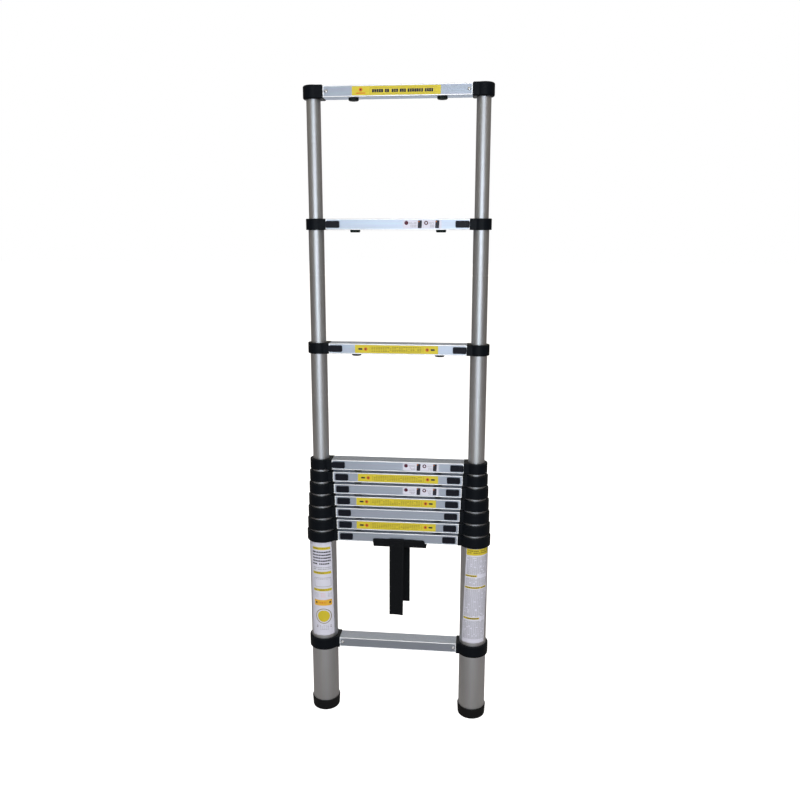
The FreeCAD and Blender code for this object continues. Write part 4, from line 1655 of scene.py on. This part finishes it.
    def seams(self) -> bpy.types.Mesh:
        """Lines that the stitches follow: the tails', the band's and the sewn box with its cross.

        Returns:
            A mesh of edges.
        """
        rise = self.thickness / 2 + self.thread_radius * 0.3
        side_reach = self.tail_width / 2 - self.seam_inset
        band_length = self.band_right - self.band_left
        band_edge = self.band_width() / 2 - self.seam_inset
        box_low = self.band_cover + self.band_drop - self.box_margin
        front_end = self.front_tail_length - self.seam_end
        back_end = self.back_tail_length - self.seam_end
        lines: list[tuple[Place, tuple[float, float], tuple[float, float]]] = [
            (self.back_place, (back_end, -side_reach), (back_end, side_reach)),
            (self.front_place, (self.box_top, -side_reach), (box_low, side_reach)),
            (self.front_place, (self.box_top, side_reach), (box_low, -side_reach))]
        for across in (-side_reach, side_reach):
            lines.append((self.front_place, (self.box_top, across), (front_end, across)))
            lines.append((self.back_place, (self.seam_end, across), (back_end, across)))
        for along in (self.box_top, box_low, front_end):
            lines.append((self.front_place, (along, -side_reach), (along, side_reach)))
        for across in (-band_edge, band_edge):
            lines.append((self.band_place, (self.band_seam_end, across),
                          (band_length - self.band_seam_end, across)))
        points, edges = [], []
        for place, start, end in lines:
            steps = max(4, round(math.dist(start, end) / self.seam_step))
            for step in range(steps + 1):
                share = step / steps
                if step:
                    edges.append((len(points) - 1, len(points)))
                points.append(place(*(a + (b - a) * share for a, b in zip(start, end)), rise))
        mesh = bpy.data.meshes.new("strap seams")
        mesh.from_pydata(points, edges, [])
        return mesh

    def make(self) -> None:
        """Makes the band, the tails and their stitches."""
        webbing = STRAP_WEBBING.material()
        band_length = self.band_right - self.band_left
        for part, length, width, corner, place in (
                ("band", band_length, self.band_width(), self.band_corner, self.band_place),
                ("front_tail", self.front_tail_length, self.tail_width, self.tail_corner,
                 self.front_place),
                ("back_tail", self.back_tail_length, self.tail_width, self.tail_corner,
                 self.back_place)):
            name = f"{self.node}_{part}"
            mesh = self.ribbon(name, length, self.end_round(width, corner, length), place)
            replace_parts(add_piece(name, mesh, "root", Slot.STRAP, (webbing,)), self.node)
        name = f"{self.node}_stitches"
        stitches = grow(name, self.seams(), stitch_tree(STRAP_THREAD.material()), {
            "Pitch": self.stitch_pitch, "Half Stitch": self.half_stitch,
            "Thread Radius": self.thread_radius})
        add_piece(name, stitches, "root", Slot.STRAP)


# ---- Screws and springs -------------------------------------------------------------------------

@dataclass
class RungScrews:
    """Domed screws through the faces of the fixed rungs, near their ends. Sizes in metres."""

    end_inset: float = 0.0075
    head_radius: float = 0.0042
    dome_share: float = 0.45
    cross_length: float = 0.0042
    cross_width: float = 0.0009
    cross_depth: float = 0.0011
    shank_radius: float = 0.0016
    shank_length: float = 0.008
    rungs: tuple[int, ...] = (1, BASE_RUNG)

    def make(self) -> None:
        """Makes four screws for each rung."""
        tree = screw_tree(PLATED_STEEL.material())
        for rung in self.rungs:
            low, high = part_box(f"rung_{rung:02d}")
            points, ways = [], []
            for side in Side:
                for front in (-1, 1):
                    points.append((side.value * (high.x - self.end_inset), front * (high.y - LIP),
                                   (low.z + high.z) / 2))
                    ways.append((0.0, float(front), 0.0))
            seeds = bpy.data.meshes.new(f"screw points {rung}")
            seeds.from_pydata(points, [], [])
            facing = seeds.attributes.new("facing", "FLOAT_VECTOR", "POINT")
            for item, way in zip(facing.data, ways):
                item.vector = way
            mesh = grow(f"rung_screws_{rung:02d}", seeds, tree, {
                "Head Radius": self.head_radius, "Dome Share": self.dome_share,
                "Cross Length": self.cross_length, "Cross Width": self.cross_width,
                "Cross Depth": self.cross_depth, "Shank Radius": self.shank_radius,
                "Shank Length": self.shank_length})
            mesh.set_sharp_from_angle(angle=CREASE)
            add_piece(mesh.name, mesh, section_body(min(rung, SECTIONS)), Slot.SCREW)


@dataclass
class ReturnSprings:
    """Coil springs and their stops behind the buttons, inside the rungs. Sizes in metres."""

    free_run: float = 0.024            # from a locked slider to its stop
    travel: float = 0.006
    coil_radius: float = 0.0033
    wire_radius: float = 0.00045
    turns: float = 8.0
    stop_thickness: float = 0.004
    stop_half_height: float = 0.007
    stop_back: float = 0.007
    stop_round: float = 0.0006
    boss_radius: float = 0.0022
    boss_length: float = 0.004
    boss_taper: float = 0.8
    boss_sink: float = 0.0005          # how far the boss starts inside the plate
    rung_wall: float = 0.0018

    def inner_face(self, side: Side, section: int) -> tuple[float, float]:
        """Where a slider block ends inboard, and the height of its middle."""
        low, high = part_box(f"release_button_{side.name.lower()}_{section:02d}")
        inboard = high.x if side is Side.LEFT else low.x
        return inboard, (low.z + high.z) / 2

    def stop(self, build: bmesh.types.BMesh, x: float, z: float, side: Side, front: float) -> None:
        """Adds a stop plate on the rung's front wall, with a boss inside the spring's end.

        Args:
            build: the bmesh to add to.
            x: the plate's outboard face.
            z: its middle.
            side: the side of the ladder.
            front: the inside of the rung's front wall.
        """
        inboard = -side.value
        near, far = sorted((x, x + inboard * self.stop_thickness))
        rounded_box(build, (near, front, z - self.stop_half_height),
                    (far, self.stop_back, z + self.stop_half_height), self.stop_round)
        boss = bmesh.ops.create_cone(
            build, cap_ends=True, segments=20, radius1=self.boss_radius,
            radius2=self.boss_radius * self.boss_taper, depth=self.boss_length + 2 * self.boss_sink)
        for vertex in boss["verts"]:
            reach = x - inboard * (vertex.co.z + self.boss_length / 2 - self.boss_sink)
            vertex.co = Vector((reach, vertex.co.y, z + vertex.co.x))

    def make(self) -> None:
        """Makes the stops of each section and a spring behind each button."""
        tree = spring_tree(SPRING_STEEL.material())
        nylon = COLLAR_NYLON.material()
        for section in range(2, SECTIONS + 1):
            build = bmesh.new()
            rung_low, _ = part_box(f"rung_{section:02d}")
            front = rung_low.y + self.rung_wall
            for side in Side:
                pressed = section > PULLED_OUT + 1
                start, z = self.inner_face(side, section)
                run = self.free_run - (self.travel if pressed else 0.0)
                stop = start - side.value * run
                self.stop(build, stop, z, side, front)
                self.spring(tree, side, section, min(start, stop), z, run, pressed)
            name = f"spring_stops_{section:02d}"
            add_piece(name, mesh_from(build, name), section_body(section), Slot.COLLAR, (nylon,))

    def spring(self, tree: bpy.types.NodeTree, side: Side, section: int, left: float,
               z: float, run: float, pressed: bool) -> None:
        """Makes one spring.

        Args:
            tree: the springs' tree.
            side: the side of the ladder.
            section: the section it is in.
            left: the X of its left end.
            z: the height of its axis.
            run: its length.
            pressed: whether the button is held back as the ladder stands.
        """
        name = f"return_spring_{side.name.lower()}_{section:02d}"
        seeds = bpy.data.meshes.new(f"{name} point")
        inset = self.wire_radius
        seeds.from_pydata([(left + inset, 0.0, z)], [], [])
        mesh = grow(name, seeds, tree, {"Turns": self.turns, "Coil Radius": self.coil_radius,
                                        "Length": run - 2 * inset, "Wire Radius": self.wire_radius})
        button = f"button_{side.name.lower()}_{section:02d}"
        piece = add_piece(name, mesh, button if pressed else section_body(section), Slot.SPRING)
        if not pressed:
            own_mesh(piece)


# ---- CAD parts ----------------------------------------------------------------------------------

@dataclass
class Stiles:
    """Tubes, collars and feet of both sides."""

    def make(self) -> None:
        """Dresses the CAD nodes."""
        numbers = range(1, SECTIONS + 1)
        dress((f"stile_tubes_{number:02d}" for number in numbers), TUBE_ALUMINIUM.material())
        dress((f"collars_{number:02d}" for number in numbers), COLLAR_NYLON.material())
        dress(("feet",), FOOT_RUBBER.material())


@dataclass
class Rungs:
    """Rungs with their bumpers and release buttons, and a lip all round each rung's faces, finished
    near-white as a painted highlight.

    Sizes in metres.
    """

    upright_width: float = 0.0018
    upright_lap: float = 0.0006        # how far a lip's uprights run into its bands
    upright_drop: float = 0.00002      # and how far they lie below them
    band: float = 0.0024               # height of the CAD rung's raised bands
    edge_inset: float = 0.0005
    end_inset: float = 0.0002
    depth: float = 0.0016
    proud: float = 0.00006
    edge_round: float = 0.0003

    def lips(self, number: int) -> None:
        """Makes the lips round the front and back recess of a rung.

        Args:
            number: the rung's number.
        """
        low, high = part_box(f"rung_{number:02d}")
        build = bmesh.new()
        left, right = low.x + self.end_inset, high.x - self.end_inset
        bottom, top = low.z + self.edge_inset, high.z - self.edge_inset
        inner_bottom, inner_top = low.z + self.band, high.z - self.band
        for face, way in ((low.y, 1), (high.y, -1)):
            near, far = sorted((face - way * self.proud, face + way * self.depth))
            for x0, x1, z0, z1, lap, drop in (
                    (left, right, bottom, inner_bottom, 0.0, 0.0),
                    (left, right, inner_top, top, 0.0, 0.0),
                    (left, left + self.upright_width, inner_bottom, inner_top, self.upright_lap,
                     self.upright_drop),
                    (right - self.upright_width, right, inner_bottom, inner_top, self.upright_lap,
                     self.upright_drop)):
                rounded_box(build, (x0, near + drop, z0 - lap), (x1, far - drop, z1 + lap),
                            self.edge_round)
        name = f"rung_lips_{number:02d}"
        add_piece(name, mesh_from(build, name), section_body(min(number, SECTIONS)), Slot.RUNG,
                  (LIP_PAINTED_HIGHLIGHT.material(),))

    def make(self) -> None:
        """Makes the lips and dresses the CAD nodes."""
        for number in range(1, BASE_RUNG + 1):
            self.lips(number)
        rungs, sections = range(1, BASE_RUNG + 1), range(2, SECTIONS + 1)
        dress((f"rung_{number:02d}" for number in rungs), RUNG_ALUMINIUM.material())
        dress((f"rung_bumpers_{number:02d}" for number in range(1, SECTIONS)),
              BUMPER_RUBBER.material())
        dress((f"release_button_{side.name.lower()}_{number:02d}" for side in Side
               for number in sections), BUTTON_NYLON.material())


# ---- Studio -------------------------------------------------------------------------------------

@dataclass(frozen=True)
class Panel:
    """Soft panel light, in metres and watts. Glossy surfaces mirror it unless told not to."""

    name: str
    place: tuple[float, float, float]
    target: tuple[float, float, float]
    width: float
    height: float
    power: float
    colour: Colour
    glossy: bool = True


@dataclass
class Studio:
    """Pale floor, white surroundings, soft lights and camera, in metres and degrees."""

    camera_place: tuple[float, float, float] = (0.2025, -1.8816, 1.270)
    pitch: float = 12.268
    yaw: float = -5.992
    lens: float = 34.861
    sensor: float = 36.0
    floor_half: float = 30.0
    floor_glow: float = 0.86
    floor_tones: tuple[Colour, Colour] = ((0.52, 0.52, 0.52), (0.56, 0.56, 0.56))
    floor_in_reflections: Colour = (0.20, 0.187, 0.18)
    room_tones: tuple[tuple[float, Colour], ...] = (       # from the floor up to the ceiling
        (0.0, (0.095, 0.085, 0.078)), (1.0, (0.55, 0.52, 0.48)), (0.14, (0.13, 0.125, 0.12)),
        (0.30, (0.25, 0.225, 0.185)), (0.50, (0.60, 0.53, 0.43)))
    panels: tuple[Panel, ...] = (
        Panel("key", place=(0.15, -2.45, 1.40), target=(0.0, 0.0, 1.15), width=2.0, height=0.85,
              power=15.5, colour=(0.86, 0.93, 1.0)),
        Panel("low_front", place=(0.2, -2.3, 0.35), target=(0.0, 0.0, 0.5), width=1.5, height=1.5,
              power=8.2, colour=(0.86, 0.93, 1.0)),
        Panel("fill", place=(0.6, -3.4, 2.6), target=(0.0, 0.0, 0.7), width=3.2, height=2.4,
              power=125.0, colour=(0.97, 0.985, 1.0), glossy=False),
        Panel("back", place=(-0.25, 2.8, 0.50), target=(0.0, 0.0, 0.75), width=1.8, height=0.8,
              power=7.0, colour=(0.88, 0.94, 1.0)),
        Panel("top", place=(0.0, 0.6, 4.2), target=(0.0, 0.0, 0.6), width=3.5, height=3.5,
              power=85.0, colour=(0.98, 0.99, 1.0), glossy=False),
    )

    def aim(self, name: str, holder: bpy.types.Object, place: Sequence[float], way: Vector) -> None:
        """Puts a camera or a light in the scene, looking a given way.

        Args:
            name: the object's name.
            holder: the object.
            place: where it stands.
            way: the way it looks.
        """
        holder.name = name
        bpy.context.scene.collection.objects.link(holder)
        holder.location = place
        holder.rotation_euler = way.to_track_quat("-Z", "Y").to_euler()

    def camera(self) -> None:
        """Sets the camera."""
        data = bpy.data.cameras.new("camera")
        data.lens = self.lens
        data.sensor_width = self.sensor
        pitch, yaw = math.radians(self.pitch), math.radians(self.yaw)
        way = Vector((math.sin(yaw) * math.cos(pitch), math.cos(yaw) * math.cos(pitch),
                      -math.sin(pitch)))
        holder = bpy.data.objects.new("camera", data)
        self.aim("camera", holder, self.camera_place, way)
        bpy.context.scene.camera = holder

    def light(self, panel: Panel) -> None:
        """Adds a panel light.

        Args:
            panel: its place, size and light.
        """
        data = bpy.data.lights.new(panel.name, "AREA")
        data.shape = "RECTANGLE"
        data.size, data.size_y = panel.width, panel.height
        data.energy = panel.power
        data.color = panel.colour
        holder = bpy.data.objects.new(panel.name, data)
        holder.visible_glossy = panel.glossy
        holder.visible_camera = False
        self.aim(panel.name, holder, panel.place, Vector(panel.target) - Vector(panel.place))

    def world(self) -> None:
        """White for the eye, and a soft room that is brighter overhead for the light."""
        world = bpy.data.worlds.new("studio")
        bpy.context.scene.world = world
        nodes, links = emptied(world)
        coords = nodes.new("ShaderNodeTexCoord")
        coords.label = "Way out of the room"
        split = nodes.new("ShaderNodeSeparateXYZ")
        split.label = "How high it looks"
        room = nodes.new("ShaderNodeValToRGB")
        room.label = "Room from floor to ceiling"
        room_light = nodes.new("ShaderNodeBackground")
        room_light.label = "Room"
        white = nodes.new("ShaderNodeBackground")
        white.label = "White backdrop"
        path = nodes.new("ShaderNodeLightPath")
        path.label = "Seen directly"
        mix = nodes.new("ShaderNodeMixShader")
        mix.label = "Backdrop or room"
        output = nodes.new("ShaderNodeOutputWorld")
        output.label = "World"
        set_out(nodes, (("Room", (coords,)), ("Room", (split,)), ("Room", (room, room_light)),
                 ("", (white, path)), ("", (mix, output))))
        first, last, *between = self.room_tones
        for element, (height, colour) in zip(room.color_ramp.elements, (first, last)):
            element.position, element.color = height, (*colour, 1)
        for height, colour in between:
            room.color_ramp.elements.new(height).color = (*colour, 1)
        room_light.inputs["Strength"].default_value = 1.0
        white.inputs["Color"].default_value = (1.0, 1.0, 1.0, 1)
        links.new(coords.outputs["Generated"], split.inputs["Vector"])
        links.new(split.outputs["Z"], room.inputs["Fac"])
        links.new(room.outputs["Color"], room_light.inputs["Color"])
        links.new(path.outputs["Is Camera Ray"], mix.inputs["Fac"])
        links.new(room_light.outputs["Background"], mix.inputs[1])
        links.new(white.outputs["Background"], mix.inputs[2])
        links.new(mix.outputs["Shader"], output.inputs["Surface"])

    def floor(self) -> None:
        """Lays the pale floor."""
        reach = self.floor_half
        mesh = bpy.data.meshes.new("floor")
        corners = [(-reach, -reach, 0), (reach, -reach, 0), (reach, reach, 0), (-reach, reach, 0)]
        mesh.from_pydata(corners, [], [(0, 1, 2, 3)])
        material = bpy.data.materials.new("pale studio floor")
        nodes, links = emptied(material)
        coords = nodes.new("ShaderNodeTexCoord")
        coords.label = "Place on the floor"
        grain = nodes.new("ShaderNodeTexNoise")
        grain.label = "Faint paper grain"
        tone = nodes.new("ShaderNodeMix")
        tone.label = "Paper tone"
        paper = nodes.new("ShaderNodeBsdfDiffuse")
        paper.label = "Paper"
        glow = nodes.new("ShaderNodeEmission")
        glow.label = "Lit from below"
        lit = nodes.new("ShaderNodeAddShader")
        lit.label = "Paper and its glow"
        dim = nodes.new("ShaderNodeBsdfDiffuse")
        dim.label = "Dim floor in the reflections"
        path = nodes.new("ShaderNodeLightPath")
        path.label = "Seen directly"
        mix = nodes.new("ShaderNodeMixShader")
        mix.label = "Paper or dim floor"
        output = nodes.new("ShaderNodeOutputMaterial")
        output.label = "Surface"
        set_out(nodes, (("", (coords,)), ("Paper", (grain, tone)), ("Paper", (paper, glow, lit)),
                 ("", (dim, path)), ("", (mix, output))))
        tone.data_type = "RGBA"
        for node, socket, value in (
                (grain, "Scale", 40.0),
                (tone, 6, (*self.floor_tones[0], 1)), (tone, 7, (*self.floor_tones[1], 1)),
                (glow, "Strength", self.floor_glow),
                (dim, "Color", (*self.floor_in_reflections, 1))):
            node.inputs[socket].default_value = value
        links.new(coords.outputs["Object"], grain.inputs["Vector"])
        links.new(grain.outputs["Fac"], tone.inputs[0])
        links.new(tone.outputs[2], paper.inputs["Color"])
        links.new(paper.outputs["BSDF"], lit.inputs[0])
        links.new(glow.outputs["Emission"], lit.inputs[1])
        links.new(path.outputs["Is Camera Ray"], mix.inputs["Fac"])
        links.new(dim.outputs["BSDF"], mix.inputs[1])
        links.new(lit.outputs["Shader"], mix.inputs[2])
        links.new(mix.outputs["Shader"], output.inputs["Surface"])
        mesh.materials.append(material)
        holder = bpy.data.objects.new("floor", mesh)
        bpy.context.scene.collection.objects.link(holder)
        holder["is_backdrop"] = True

    def make(self) -> None:
        """Sets up the whole studio."""
        bpy.context.scene.view_settings.view_transform = "Standard"
        self.camera()
        self.world()
        self.floor()
        for panel in self.panels:
            self.light(panel)


def main() -> None:
    """Builds and dresses the ladder."""
    logging.basicConfig(level=logging.INFO, format="%(message)s", stream=sys.stdout)
    for assembly in (Studio(), Stiles(), Rungs(), RungLabels(), TubeLabels(), RungScrews(),
                     ReturnSprings(), ClosureStrap()):
        assembly.make()
        log.info("made %s", type(assembly).__name__)
    boxes = {"cad": cad_bounds, "visual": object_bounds()}
    ({name: [[float(size) for size in corner] for corner in box]
               for name, box in boxes.items()})


if __name__ == "__main__":
    main()
